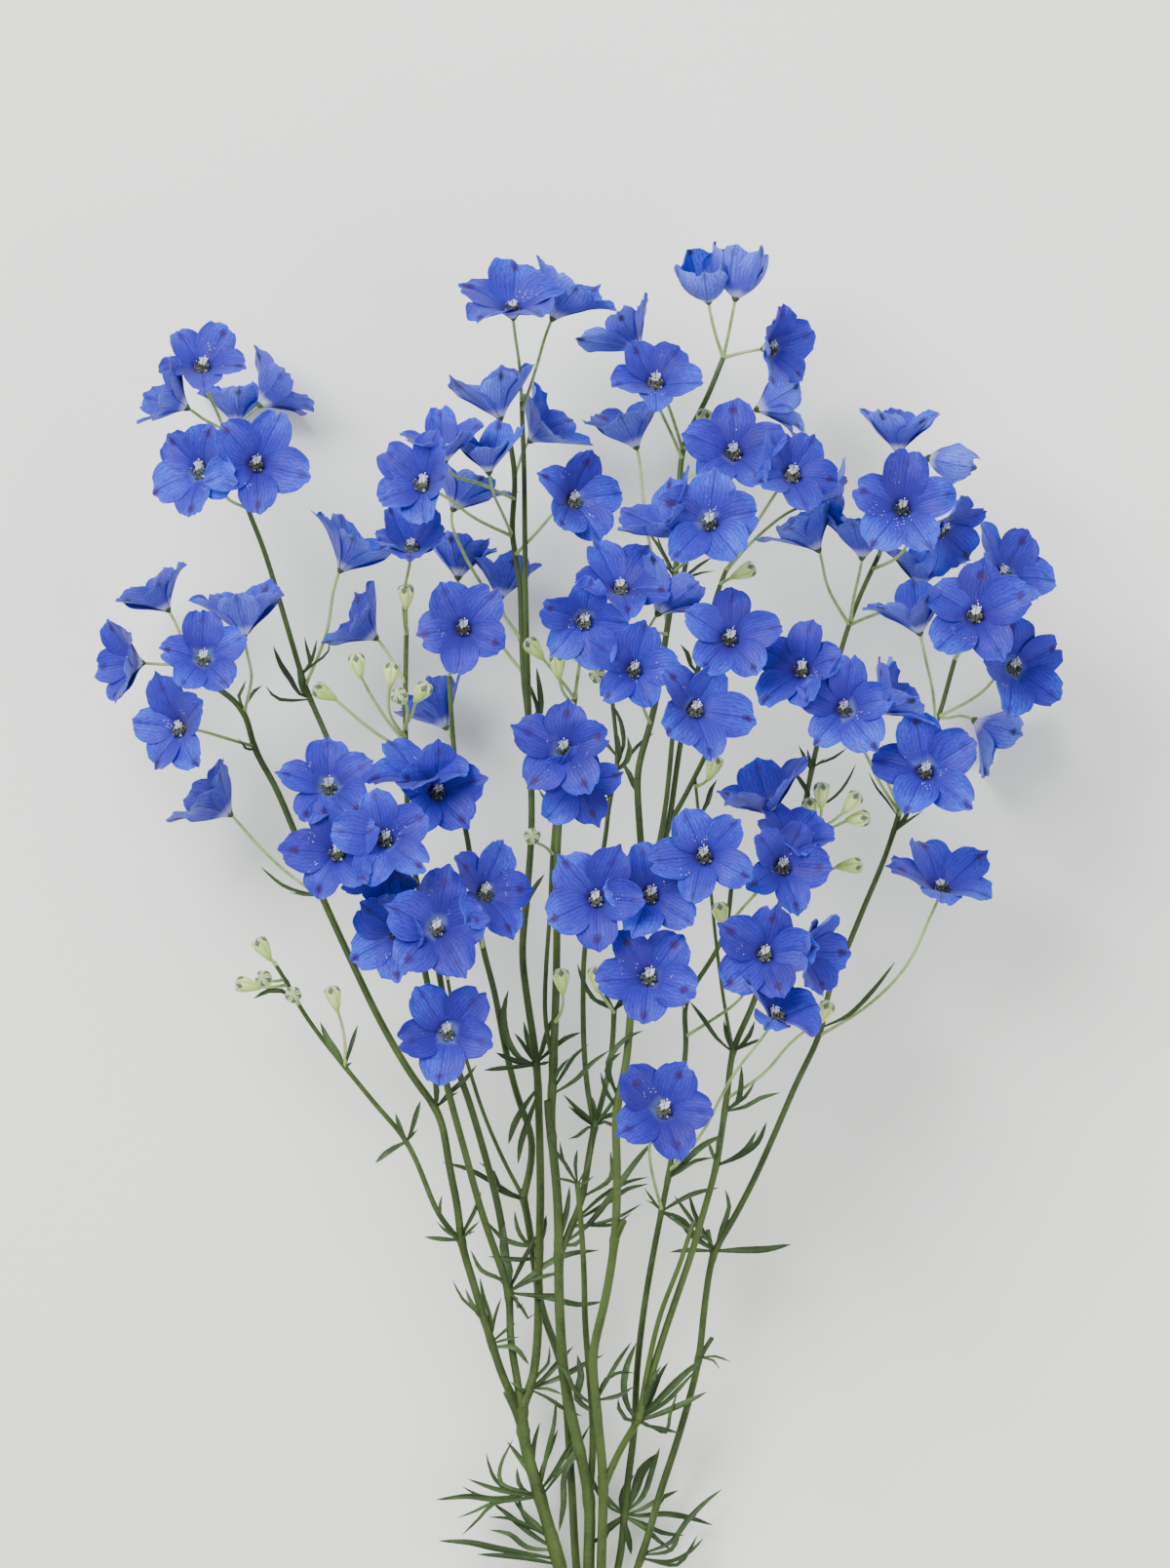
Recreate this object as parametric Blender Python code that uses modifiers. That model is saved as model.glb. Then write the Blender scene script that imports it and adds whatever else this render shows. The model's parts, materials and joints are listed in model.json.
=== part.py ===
"""Delphinium flower spray: one much-branched cut plant laid on a surface.

Metres, +Z up. Photo right is +X, photo up is +Y, towards the viewer is +Z.
Stems leave one short crown with a cut end; each leafy stem is one solid, and
each blue bloom, or group of blooms grown into each other, is one solid.
"""

import math
import random
from collections import namedtuple

import bmesh
import bpy
from mathutils import Vector

MM = 0.001

# Scale of the photograph and the point of it that stands over the origin
PHOTO_PIXEL = 0.36 * MM
MIDDLE_X = 592.2
MIDDLE_Y = 1026.6

# Blooms
SEPALS = 5
SHEET = 0.8 * MM
THROAT_RADIUS = 1.2 * MM
THROAT_DEPTH = 2.6 * MM
RECEPTACLE = 1.7 * MM
BEE_HEIGHT = 2.4 * MM
SEPAL_WIDTH = 0.385
CLAW_ANGLE = 38.0
CORNER_REACH = 0.09

# Stalks, stems, buds and leaves
SEAT_GAP = 0.3 * MM
STRAIGHT = 1.0 * MM
STALK_RADIUS = 0.65 * MM
BUD_LENGTH = 9.0 * MM
BUD_RADIUS = 2.7 * MM
BLADE_WIDTH = 2.6 * MM
BLADE_DEPTH = 0.9 * MM

# Crown, where the leafy stems meet the cut main stem
CROWN_TOP = (603, 1700)
CROWN_END = (603, 1790)
CROWN_HEIGHT = 9.0
CROWN_RADIUS = 8.3 * MM
CUT_RADIUS = 4.6 * MM
CUT_HEIGHT = 4.2
CROWN_SIDES = 12

FLOOR_SIZE = 1.0
FLOOR_DEPTH = 0.02

# A bloom's throat is given in photo pixels, its height over the surface and the
# length of its sepals in millimetres, and its facing as (right, up, viewer).
Bloom = namedtuple("Bloom", "name group throat height facing sepal flare roll stem root via")

# A stem's points run in photo pixels from root to tip. Its height eases from the
# height of its root to its own level over the blend length, in pixels.
Stem = namedtuple("Stem", "name node parent start level blend root_radius tip_radius points")

Bud = namedtuple("Bud", "centre height facing stem root via")
Leaf = namedtuple("Leaf", "stem root lift tips")

STEMS = (
    Stem("left", "left", None, 9.0, 52, 600, 2.6, 2.2,
         ((590, 1702), (584, 1660), (571, 1608), (557, 1559), (550, 1534), (539, 1496), (534, 1464),
          (534, 1450))),
    Stem("left_stub", "left", "left", 0, 30, 60, 1.7, 1.7, ((536, 1475), (526, 1446), (519, 1434))),
    Stem("left_outer", "left", "left", 0, 55, 350, 1.6, 1.1,
         ((534, 1456), (519, 1430), (500, 1373), (483, 1316), (472, 1278), (469, 1245), (460, 1200),
          (449, 1142), (426, 1112), (391, 1053), (361, 991), (329, 921), (305, 865), (279, 803),
          (258, 767), (249, 728), (226, 708), (204, 694), (186, 664))),
    Stem("left_bud", "left", "left_outer", 0, 42, 120, 1.1, 0.8,
         ((472, 1278), (448, 1250), (434, 1214), (415, 1172), (388, 1141), (352, 1097), (326, 1065),
          (302, 1030), (288, 1002), (278, 988))),
    Stem("left_tall", "left", "left", 0, 64, 400, 1.5, 0.9,
         ((534, 1452), (529, 1418), (522, 1376), (522, 1335), (511, 1299), (493, 1246), (476, 1183),
          (459, 1120), (446, 1060), (436, 1000), (424, 955), (400, 905), (374, 850), (350, 796),
          (332, 750), (314, 710), (296, 651), (267, 556), (252, 520), (240, 480), (232, 450),
          (228, 434))),
    Stem("left_inner", "left", "left_tall", 0, 60, 300, 1.5, 0.9,
         ((522, 1335), (518, 1290), (510, 1240), (500, 1200), (479, 1127), (466, 1090), (458, 1050),
          (450, 1000), (438, 945), (425, 900), (418, 850), (416, 800), (415, 754), (415, 698),
          (416, 645))),
    Stem("left_straight", "left", "left", 0, 56, 400, 1.7, 1.0,
         ((534, 1454), (546, 1422), (551, 1376), (552, 1306), (554, 1236), (553, 1165), (550, 1092),
          (540, 1023), (535, 979), (540, 920), (545, 850), (544, 790), (542, 737), (537, 699),
          (535, 655), (532, 584), (524, 548), (527, 510), (528, 484), (522, 448))),
    Stem("left_crest", "left", "left_straight", 0, 66, 80, 1.1, 0.9,
         ((543, 750), (541, 690), (539, 620), (538, 540), (537, 466), (535, 421), (535, 405))),
    Stem("slender", "slender", None, 4.6, 38, 600, 1.6, 1.4,
         ((598, 1702), (594, 1650), (590, 1608), (587, 1550), (584, 1500), (581, 1450), (574, 1400),
          (563, 1372), (553, 1340), (546, 1290), (540, 1250), (536, 1232))),
    Stem("slender_upper", "slender", "slender", 0, 62, 300, 1.4, 0.9,
         ((536, 1232), (544, 1200), (545, 1165), (534, 1140), (517, 1074), (506, 1015), (494, 970),
          (485, 900), (477, 850), (470, 817), (463, 745), (460, 692))),
    Stem("slender_side", "slender", "slender", 0, 72, 220, 0.8, 0.7,
         ((536, 1232), (526, 1214), (514, 1190), (494, 1141), (480, 1095), (466, 1045), (458, 1000))),
    Stem("middle", "middle", None, 10.6, 64, 600, 2.3, 1.1,
         ((604, 1702), (604, 1650), (604, 1608), (605, 1552), (599, 1517), (590, 1475), (580, 1429),
          (575, 1376), (573, 1323), (573, 1285), (572, 1236), (569, 1200), (565, 1160), (567, 1100),
          (570, 1023), (571, 964), (571, 891), (573, 846), (580, 780), (590, 712))),
    Stem("middle_stub", "middle", "middle", 0, 66, 40, 1.6, 1.6, ((566, 1168), (562, 1146), (562, 1130))),
    Stem("middle_twin", "middle", "middle", 0, 58, 100, 0.9, 0.8,
         ((568, 1090), (559, 1050), (560, 990), (564, 935), (566, 876), (570, 830))),
    Stem("middle_thin", "middle", "middle", 0, 70, 400, 1.4, 1.0,
         ((605, 1548), (608, 1500), (608, 1464), (604, 1411), (600, 1358), (599, 1306), (596, 1257),
          (592, 1214))),
    Stem("middle_fork", "middle", "middle", 0, 60, 200, 1.3, 1.3,
         ((573, 1292), (582, 1270), (598, 1230), (603, 1193), (610, 1157))),
    Stem("middle_fork_right", "middle", "middle_fork", 0, 64, 100, 1.1, 1.0,
         ((610, 1157), (622, 1113), (628, 1078), (630, 1036))),
    Stem("middle_fork_left", "middle", "middle_fork", 0, 58, 100, 1.1, 0.8,
         ((610, 1157), (603, 1123), (599, 1078), (598, 1023), (599, 979), (604, 945), (613, 900),
          (621, 862), (626, 815), (634, 788), (631, 745), (627, 708))),
    Stem("pale", "pale", None, 13.4, 76, 600, 1.9, 1.0,
         ((616, 1702), (617, 1650), (617, 1608), (619, 1530), (615, 1480), (611, 1440), (608, 1394),
          (620, 1341), (629, 1288), (632, 1253), (633, 1200), (632, 1137), (642, 1095), (646, 1050),
          (651, 995), (658, 941), (659, 890), (656, 846), (654, 787), (663, 758), (672, 723),
          (682, 660), (691, 600), (697, 550), (697, 495), (702, 452), (723, 413), (742, 366))),
    Stem("pale_stub", "pale", "pale", 0, 70, 40, 1.3, 1.3, ((632, 1275), (640, 1253))),
    Stem("pale_right", "pale", "pale", 0, 60, 220, 1.4, 1.3,
         ((618, 1534), (634, 1499), (648, 1474), (657, 1460))),
    Stem("pale_right_short", "pale", "pale_right", 0, 54, 200, 1.1, 0.9,
         ((657, 1462), (665, 1408), (678, 1351), (697, 1302), (712, 1256))),
    Stem("pale_right_long", "pale", "pale_right", 0, 60, 300, 1.4, 0.9,
         ((657, 1462), (671, 1408), (689, 1351), (709, 1292), (725, 1236), (735, 1200), (742, 1155),
          (748, 1113), (752, 1078), (774, 1030), (800, 930), (818, 870), (834, 787), (850, 720),
          (865, 662), (882, 613), (904, 566))),
    Stem("pale_fine", "pale", "pale_right_long", 0, 68, 80, 0.7, 0.6,
         ((752, 1078), (741, 1015), (733, 950), (728, 900), (718, 845), (713, 795))),
    Stem("pale_left_top", "pale", "pale", 0, 72, 100, 1.1, 0.9,
         ((656, 960), (668, 900), (680, 846), (686, 800), (691, 742))),
    Stem("pale_right_top", "pale", "pale", 0, 68, 100, 1.2, 0.9,
         ((654, 975), (672, 905), (686, 846), (700, 752), (722, 664), (735, 610), (746, 582))),
    Stem("pale_middle_top", "pale", "pale_right_top", 0, 70, 80, 1.0, 0.9,
         ((686, 846), (704, 815), (716, 790), (729, 765), (742, 702))),
    Stem("inner_right", "inner_right", None, 5.6, 52, 600, 1.5, 0.9,
         ((612, 1702), (625, 1655), (637, 1608), (641, 1562), (646, 1517), (651, 1478), (654, 1411),
          (662, 1341), (671, 1288), (679, 1246), (688, 1200), (693, 1165), (700, 1115), (705, 1065),
          (702, 1032), (731, 985), (745, 958), (751, 911))),
    Stem("right", "right", None, 9.2, 50, 600, 1.5, 0.9,
         ((621, 1702), (640, 1655), (660, 1605), (678, 1541), (694, 1492), (708, 1443), (718, 1401),
          (723, 1351), (728, 1313), (733, 1288), (750, 1260), (774, 1214), (799, 1158), (820, 1109),
          (843, 1062), (853, 1011), (866, 985), (889, 929), (909, 882), (923, 840), (935, 800),
          (952, 765), (966, 734), (974, 704), (983, 672))),
    Stem("right_stub", "right", "right", 0, 30, 40, 0.9, 0.9, ((718, 1401), (724, 1388), (732, 1378))),
    Stem("right_stub_upper", "right", "right", 0, 42, 40, 0.9, 0.9, ((732, 1292), (729, 1278), (727, 1265))),
)

BLOOMS = (
    Bloom("top_left_a", "top_left_front", (209, 378), 104, (0.0, 0.65, 0.75), 17, 84, 54,
          "left_tall", (232, 450), ((221, 418),)),
    Bloom("top_left_b", "top_left_front", (186, 416), 107, (-0.85, 0.45, 0.15), 17, 66, 20,
          "left_tall", (229, 440), ((206, 428),)),
    Bloom("top_left_c", "top_left_back", (268, 405), 20, (0.7, 0.65, -0.2), 18, 62, 70,
          "left_tall", (230, 442), ((246, 425),)),
    Bloom("top_left_d", "top_left_back", (238, 421), 12, (-0.1, 1.0, 0.05), 16, 60, 0,
          "left_tall", (236, 465), ()),
    Bloom("top_left_e", "top_left_low", (208, 484), 112, (-0.55, 0.15, 0.85), 18, 86, 130,
          "left_tall", (252, 520), ((230, 510),)),
    Bloom("top_left_f", "top_left_low", (265, 478), 118, (0.05, 0.12, 1.0), 19, 92, -84,
          "left_tall", (250, 512), ()),
    Bloom("far_left_a", "far_left_top", (164, 617), 46, (-0.6, 0.85, 0.1), 17, 64, 30,
          "left_outer", (188, 667), ((180, 642),)),
    Bloom("far_left_b", "far_left_side", (136, 679), 62, (-0.75, 0.05, 0.65), 17, 84, 110,
          "left_outer", (196, 680), ((178, 682),)),
    Bloom("far_left_c", "far_left_pair", (210, 676), 112, (0.05, 0.25, 1.0), 16, 92, 22,
          "left_outer", (206, 696), ()),
    Bloom("far_left_d", "far_left_pair", (251, 644), 106, (-0.1, 0.95, 0.35), 19, 78, 52,
          "left_outer", (249, 728), ((259, 688),)),
    Bloom("far_left_e", "far_left_low", (184, 747), 80, (-0.6, 0.0, 0.8), 18, 84, 100,
          "left_outer", (257, 765), ((230, 757),)),
    Bloom("left_low", "left_low", (227, 830), 50, (-0.75, 0.6, 0.1), 19, 58, 10,
          "left_outer", (329, 921), ((305, 906), (273, 879), (249, 853))),
    Bloom("left_high", "left_high", (378, 648), 62, (-0.75, 0.65, 0.1), 18, 62, 40,
          "left_inner", (415, 700), ((402, 678),)),
    Bloom("left_front_a", "left_front", (339, 808), 118, (0.0, 0.45, 0.9), 17, 90, 95,
          "left_tall", (356, 812), ()),
    Bloom("left_front_b", "left_front", (349, 873), 126, (-0.3, 0.2, 0.95), 18, 92, 103,
          "left_inner", (434, 930), ((399, 925), (368, 896))),
    Bloom("left_front_c", "left_front", (397, 860), 130, (0.05, 0.15, 1.0), 18, 94, 100,
          "left_inner", (426, 905), ((404, 892),)),
    Bloom("left_front_d", "left_front", (388, 884), 126, (-0.2, -0.5, 0.85), 17, 88, 280,
          "left_inner", (430, 918), ((405, 908),)),
    Bloom("left_front_e", "left_front_back", (432, 798), 92, (-0.1, 0.8, 0.55), 18, 84, 54,
          "left_inner", (418, 855), ((424, 828),)),
    Bloom("left_front_f", "left_front_back", (448, 812), 92, (0.3, 0.1, 0.95), 17, 86, 18,
          "left_inner", (420, 865), ((434, 845),)),
    Bloom("crest_left_a", "crest_left", (511, 420), 78, (-0.25, 0.95, 0.1), 19, 56, 10,
          "left_straight", (522, 450), ()),
    Bloom("crest_left_b", "crest_right", (549, 443), 38, (0.7, 0.65, 0.2), 18, 68, 30,
          "left_straight", (528, 484), ((534, 464),)),
    Bloom("inner_left_a", "inner_left_top", (435, 498), 112, (-0.45, 0.3, 0.85), 18, 80, 140,
          "left_straight", (524, 548), ((484, 530), (455, 508))),
    Bloom("inner_left_b", "inner_left_top", (456, 466), 104, (-0.1, 0.85, 0.35), 17, 76, 20,
          "left_straight", (527, 510), ((480, 492),)),
    Bloom("inner_left_c", "inner_left_top", (501, 477), 100, (-0.1, 0.95, 0.2), 17, 52, 0,
          "left_straight", (524, 546), ((512, 519),)),
    Bloom("inner_left_d", "inner_left_back", (468, 513), 52, (0.45, 0.85, -0.1), 18, 58, 40,
          "left_straight", (532, 655), ((499, 607), (475, 569), (460, 534))),
    Bloom("inner_left_e", "inner_left_side", (588, 514), 100, (0.5, 0.15, 0.85), 18, 82, 80,
          "left_straight", (534, 566), ((553, 543),)),
    Bloom("upper_left_a", "upper_left", (353, 577), 74, (0.5, 0.85, 0.1), 20, 66, 20,
          "left_tall", (312, 703), ((321, 683), (338, 639))),
    Bloom("upper_left_b", "upper_left_half_open", (422, 562), 88, (0.05, 0.75, 0.65), 17, 62, 54,
          "left_inner", (416, 650), ((412, 610),)),
    Bloom("upper_inner_a", "upper_inner", (469, 582), 36, (0.05, 1.0, -0.1), 17, 48, 30,
          "left_straight", (537, 690), ((505, 650), (478, 618))),
    Bloom("upper_inner_b", "upper_inner", (514, 602), 33, (0.15, 0.95, 0.0), 17, 52, 60,
          "left_straight", (536, 660), ((522, 636),)),
    Bloom("inner_front", "inner_front", (476, 645), 120, (0.0, 0.15, 1.0), 18, 94, -25,
          "slender_upper", (460, 692), ()),
    Bloom("inner_back", "inner_back", (452, 738), 34, (-0.45, 0.85, 0.0), 19, 50, 20,
          "slender_upper", (465, 770), ()),
    Bloom("middle_front_a", "middle_front", (579, 769), 126, (-0.05, 0.15, 1.0), 17, 94, 88,
          "middle", (577, 800), ()),
    Bloom("middle_front_b", "middle_front", (590, 800), 120, (0.2, -0.35, 0.9), 16, 88, 10,
          "middle", (574, 838), ()),
    Bloom("centre_a", "centre_top", (599, 637), 120, (-0.05, -0.3, 0.95), 18, 80, 80,
          "middle", (589, 716), ()),
    Bloom("centre_b", "centre_top", (636, 605), 119, (0.15, 0.6, 0.7), 19, 88, 54,
          "pale", (672, 723), ((650, 690), (645, 640))),
    Bloom("centre_c", "centre_top", (679, 624), 117, (0.55, 0.75, -0.2), 18, 66, 40,
          "pale", (684, 650), ()),
    Bloom("centre_d", "centre_low", (650, 688), 122, (0.0, 0.15, 1.0), 16, 92, 80,
          "pale", (667, 742), ((657, 720),)),
    Bloom("centre_e", "centre_right", (747, 656), 122, (0.1, 0.25, 1.0), 18, 94, 85,
          "pale_middle_top", (742, 704), ()),
    Bloom("centre_f", "centre_right", (711, 728), 127, (0.5, 0.1, 0.85), 19.5, 86, 63,
          "pale_left_top", (691, 742), ()),
    Bloom("right_middle_a", "low_right_top", (791, 828), 88, (-0.35, 0.85, 0.4), 19, 78, 54,
          "pale_right_long", (806, 908), ((797, 866),)),
    Bloom("right_middle_b", "right_middle_front", (721, 877), 124, (0.0, 0.15, 1.0), 18, 90, 40,
          "inner_right", (751, 911), ((738, 904),)),
    Bloom("right_front_a", "right_front", (864, 728), 118, (0.0, 0.2, 1.0), 18, 94, 87,
          "right", (924, 834), ((903, 802), (885, 768))),
    Bloom("right_front_b", "right_front", (822, 688), 112, (-0.4, 0.3, 0.85), 18, 90, 80,
          "pale_right_long", (846, 735), ()),
    Bloom("right_front_c", "right_front", (904, 726), 117, (0.75, 0.6, 0.1), 19, 66, 20,
          "right", (925, 831), ((908, 795), (893, 755))),
    Bloom("right_large", "right_front", (947, 791), 112, (0.0, 0.15, 1.0), 20, 94, 29,
          "right", (924, 836), ()),
    Bloom("far_right_a", "far_right_front", (998, 632), 112, (0.0, 0.3, 0.95), 20, 92, 85,
          "right", (983, 674), ()),
    Bloom("far_right_b", "far_right_front", (940, 642), 106, (-0.25, 0.95, 0.15), 20, 60, 20,
          "right", (963, 742), ((957, 705), (948, 676))),
    Bloom("far_right_c", "far_right_back", (946, 592), 56, (0.15, 0.95, 0.1), 17, 66, 0,
          "pale_right_long", (872, 640), ((898, 628), (926, 622))),
    Bloom("far_right_d", "far_right_top", (1029, 590), 84, (0.55, 0.5, 0.65), 19, 80, 60,
          "right", (984, 676), ((1008, 632),)),
    Bloom("far_right_e", "far_right_side", (1039, 684), 84, (0.55, 0.05, 0.83), 19, 84, 100,
          "right", (966, 734), ((994, 720), (1018, 702))),
    Bloom("far_right_f", "far_right_low", (1012, 742), 15.2, (0.75, -0.45, 0.0), 19, 72, 60,
          "right", (966, 736), ((985, 734),)),
    Bloom("top_right_a", "top_right_front", (923, 523), 118, (0.0, 0.2, 1.0), 19, 94, 86,
          "pale_right_long", (904, 568), ()),
    Bloom("top_right_b", "top_right_front", (963, 543), 109, (0.7, -0.45, 0.5), 18, 84, 30,
          "pale_right_long", (897, 583), ((925, 570),)),
    Bloom("top_right_c", "top_right_crest", (922, 454), 72, (0.0, 1.0, 0.1), 18, 58, 18,
          "pale_right_long", (904, 568), ((915, 510),)),
    Bloom("top_right_d", "top_right_bud", (962, 470), 66, (0.97, -0.2, 0.1), 15, 18, 30,
          "pale_right_long", (902, 572), ((932, 505), (944, 472))),
    Bloom("top_right_e", "top_middle_low", (885, 563), 74, (0.05, 1.0, 0.1), 17, 60, 30,
          "pale_right_long", (873, 636), ((875, 612),)),
    Bloom("top_right_f", "top_middle_low", (836, 556), 68, (-0.5, 0.85, 0.1), 18, 64, 60,
          "pale_right_long", (872, 640), ((855, 613), (843, 590))),
    Bloom("top_right_g", "top_middle_low", (837, 517), 61, (0.85, 0.0, 0.1), 18, 60, 20,
          "pale_right_top", (745, 586), ((769, 556), (800, 530))),
    Bloom("top_middle_a", "top_middle", (811, 488), 102, (0.35, 0.3, 0.88), 17, 88, 60,
          "pale_right_top", (746, 584), ((777, 535),)),
    Bloom("top_middle_b", "top_middle", (752, 466), 102, (0.0, 0.4, 0.9), 18, 90, 90,
          "pale", (702, 452), ((724, 447),)),
    Bloom("top_middle_c", "top_middle_front", (726, 538), 134, (0.0, 0.15, 1.0), 19, 94, 86,
          "pale", (697, 560), ()),
    Bloom("top_middle_d", "top_middle_front", (692, 547), 126, (-0.6, 0.75, 0.3), 20, 64, 20,
          "pale", (693, 585), ()),
    Bloom("top_middle_e", "top_middle_left", (650, 449), 60, (-0.35, 0.95, 0.1), 19, 60, 0,
          "pale", (685, 640), ((664, 545), (658, 490))),
    Bloom("top_middle_f", "top_middle_single", (672, 394), 100, (0.1, 0.55, 0.83), 17, 84, 54,
          "pale", (698, 470), ((683, 432),)),
    Bloom("top_middle_g", "top_middle_back", (650, 352), 84, (-0.65, 0.75, -0.1), 18, 64, 30,
          "pale", (700, 462), ((684, 410),)),
    Bloom("crest_a", "crest_pair", (526, 319), 92, (-0.05, 0.85, 0.5), 21, 88, 90,
          "left_crest", (535, 410), ((532, 365),)),
    Bloom("crest_b", "crest_pair", (571, 319), 80, (0.5, 0.85, 0.0), 20, 62, 30,
          "left_crest", (535, 420), ((543, 398), (557, 352))),
    Bloom("tip_a", "tip_pair", (726, 302), 84, (-0.1, 0.85, 0.5), 16, 50, 54,
          "pale", (742, 366), ((732, 340),)),
    Bloom("tip_b", "tip_pair", (756, 298), 84, (0.2, 0.98, 0.0), 17, 34, 18,
          "pale", (742, 366), ((748, 340),)),
    Bloom("tip_c", "tip_side", (790, 357), 82, (0.8, 0.05, 0.6), 17, 70, 90,
          "pale", (742, 366), ((760, 360),)),
    Bloom("tip_d", "tip_low", (785, 415), 56, (0.85, 0.3, -0.2), 17, 56, 40,
          "pale", (716, 428), ((745, 424),)),
    Bloom("low_left_a", "low_left_front", (449, 951), 124, (0.0, 0.15, 1.0), 20, 94, 82,
          "slender_side", (459, 1004), ()),
    Bloom("low_left_b", "low_left_front", (410, 957), 114, (-0.6, 0.0, 0.8), 18, 84, 140,
          "left_inner", (449, 995), ((425, 975),)),
    Bloom("low_left_c", "low_left_front", (497, 915), 117, (0.55, 0.15, 0.8), 18, 86, 75,
          "slender_upper", (495, 972), ((492, 935),)),
    Bloom("low_left_d", "low_left_single", (459, 1057), 114, (0.0, 0.12, 1.0), 19, 94, 50,
          "left_inner", (468, 1095), ()),
    Bloom("low_middle_a", "low_middle_front", (611, 921), 122, (-0.05, 0.1, 1.0), 19, 92, 62,
          "middle_fork_left", (603, 952), ()),
    Bloom("low_middle_b", "low_middle_front", (666, 917), 118, (0.15, 0.15, 1.0), 18, 88, 105,
          "pale", (658, 945), ()),
    Bloom("low_middle_c", "low_middle_right", (665, 1001), 118, (0.0, 0.25, 1.0), 18, 92, 50,
          "inner_right", (702, 1034), ((688, 1018),)),
    Bloom("low_middle_d", "low_middle_single", (680, 1136), 112, (0.05, 0.15, 1.0), 19, 94, -5,
          "inner_right", (679, 1244), ((668, 1200), (668, 1160))),
    Bloom("low_right_a", "low_right_top", (801, 888), 106, (0.35, 0.1, 0.93), 17, 88, 65,
          "inner_right", (751, 911), ((776, 896),)),
    Bloom("low_right_b", "low_right_top", (812, 862), 94, (0.2, 0.75, 0.6), 16, 78, 54,
          "inner_right", (747, 952), ((762, 932), (800, 890))),
    Bloom("low_right_c", "low_right_front", (783, 977), 120, (0.05, 0.1, 1.0), 19, 92, 74,
          "inner_right", (705, 1064), ((731, 1047), (763, 1020))),
    Bloom("low_right_d", "low_right_front", (824, 975), 114, (0.8, -0.1, 0.5), 17, 74, 70,
          "pale_right_long", (786, 985), ()),
    Bloom("low_right_e", "low_right_front", (794, 1041), 122, (0.4, 0.75, 0.5), 18, 76, 88,
          "inner_right", (688, 1204), ((718, 1168), (744, 1115), (764, 1083))),
    Bloom("right_low", "right_low", (966, 912), 70, (0.15, 0.8, 0.55), 21, 84, 40,
          "right", (843, 1064), ((873, 1047), (903, 1024), (933, 991), (949, 958), (954, 938))),
)

BUDS = (
    Bud((333, 711), 74, (-0.85, 0.45, 0.2), "left_inner", (415, 770), ((384, 752), (352, 724))),
    Bud((367, 683), 78, (-0.2, 0.9, 0.3), "left_inner", (415, 762), ((393, 735), (376, 706))),
    Bud((401, 692), 82, (0.1, 0.95, 0.2), "left_inner", (415, 756), ((396, 730),)),
    Bud((416, 612), 72, (0.0, 0.9, 0.4), "left_inner", (416, 647), ()),
    Bud((412, 716), 96, (-0.3, 0.3, 0.9), "left_inner", (415, 748), ()),
    Bud((432, 711), 90, (0.5, 0.7, 0.5), "left_inner", (415, 744), ((424, 728),)),
    Bud((549, 666), 88, (-0.6, 0.75, 0.2), "middle", (589, 716), ((570, 690),)),
    Bud((593, 672), 94, (-0.1, 0.2, 0.95), "middle", (590, 712), ()),
    Bud((572, 684), 84, (-0.1, 0.95, 0.2), "middle", (588, 722), ((576, 710),)),
    Bud((614, 694), 92, (-0.2, 0.2, 0.95), "middle_fork_left", (627, 712), ()),
    Bud((611, 663), 84, (0.3, 0.9, 0.2), "middle_fork_left", (627, 710), ((622, 688),)),
    Bud((546, 859), 92, (0.0, 0.2, 0.95), "middle_twin", (566, 876), ((560, 868),)),
    Bud((576, 1007), 82, (-0.1, 0.95, 0.2), "middle", (569, 1050), ((580, 1032),)),
    Bud((612, 1005), 82, (-0.1, 0.95, 0.2), "middle_fork_right", (630, 1040), ((620, 1024),)),
    Bud((740, 939), 72, (-0.2, 0.95, 0.2), "inner_right", (744, 960), ()),
    Bud((843, 816), 74, (0.0, 0.95, 0.2), "pale_right_long", (822, 857), ((840, 850), (846, 836))),
    Bud((832, 832), 66, (-0.1, 0.95, 0.2), "pale_right_long", (821, 860), ((834, 852),)),
    Bud((873, 824), 76, (0.6, 0.75, 0.2), "pale_right_long", (821, 858), ((842, 851), (862, 838))),
    Bud((880, 840), 70, (0.9, 0.1, 0.4), "pale_right_long", (820, 862), ((845, 854), (866, 844))),
    Bud((871, 888), 76, (1.0, 0.1, 0.1), "pale_right_long", (808, 905), ((842, 896),)),
    Bud((846, 1040), 66, (0.4, 0.8, 0.3), "pale_right_long", (746, 1128), ((790, 1100), (812, 1066), (834, 1054))),
    Bud((721, 433), 84, (0.2, 0.9, 0.3), "pale", (701, 460), ((712, 452),)),
    Bud((727, 474), 82, (0.7, 0.6, 0.2), "pale", (697, 497), ((711, 483),)),
    Bud((762, 587), 82, (0.9, 0.4, 0.1), "pale_right_top", (740, 598), ()),
    Bud((731, 788), 80, (0.3, 0.9, 0.2), "pale_fine", (714, 806), ()),
    Bud((268, 975), 44, (-0.5, 0.85, 0.2), "left_bud", (280, 992), ()),
    Bud((271, 1006), 56, (-0.3, 0.2, 0.9), "left_bud", (290, 1006), ()),
    Bud((252, 1012), 46, (-0.95, 0.2, 0.2), "left_bud", (292, 1012), ((276, 1016),)),
    Bud((299, 1022), 54, (0.0, 0.1, 1.0), "left_bud", (303, 1032), ()),
    Bud((341, 1026), 50, (-0.25, 0.95, 0.2), "left_bud", (352, 1097), ((352, 1056),)),
)

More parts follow.
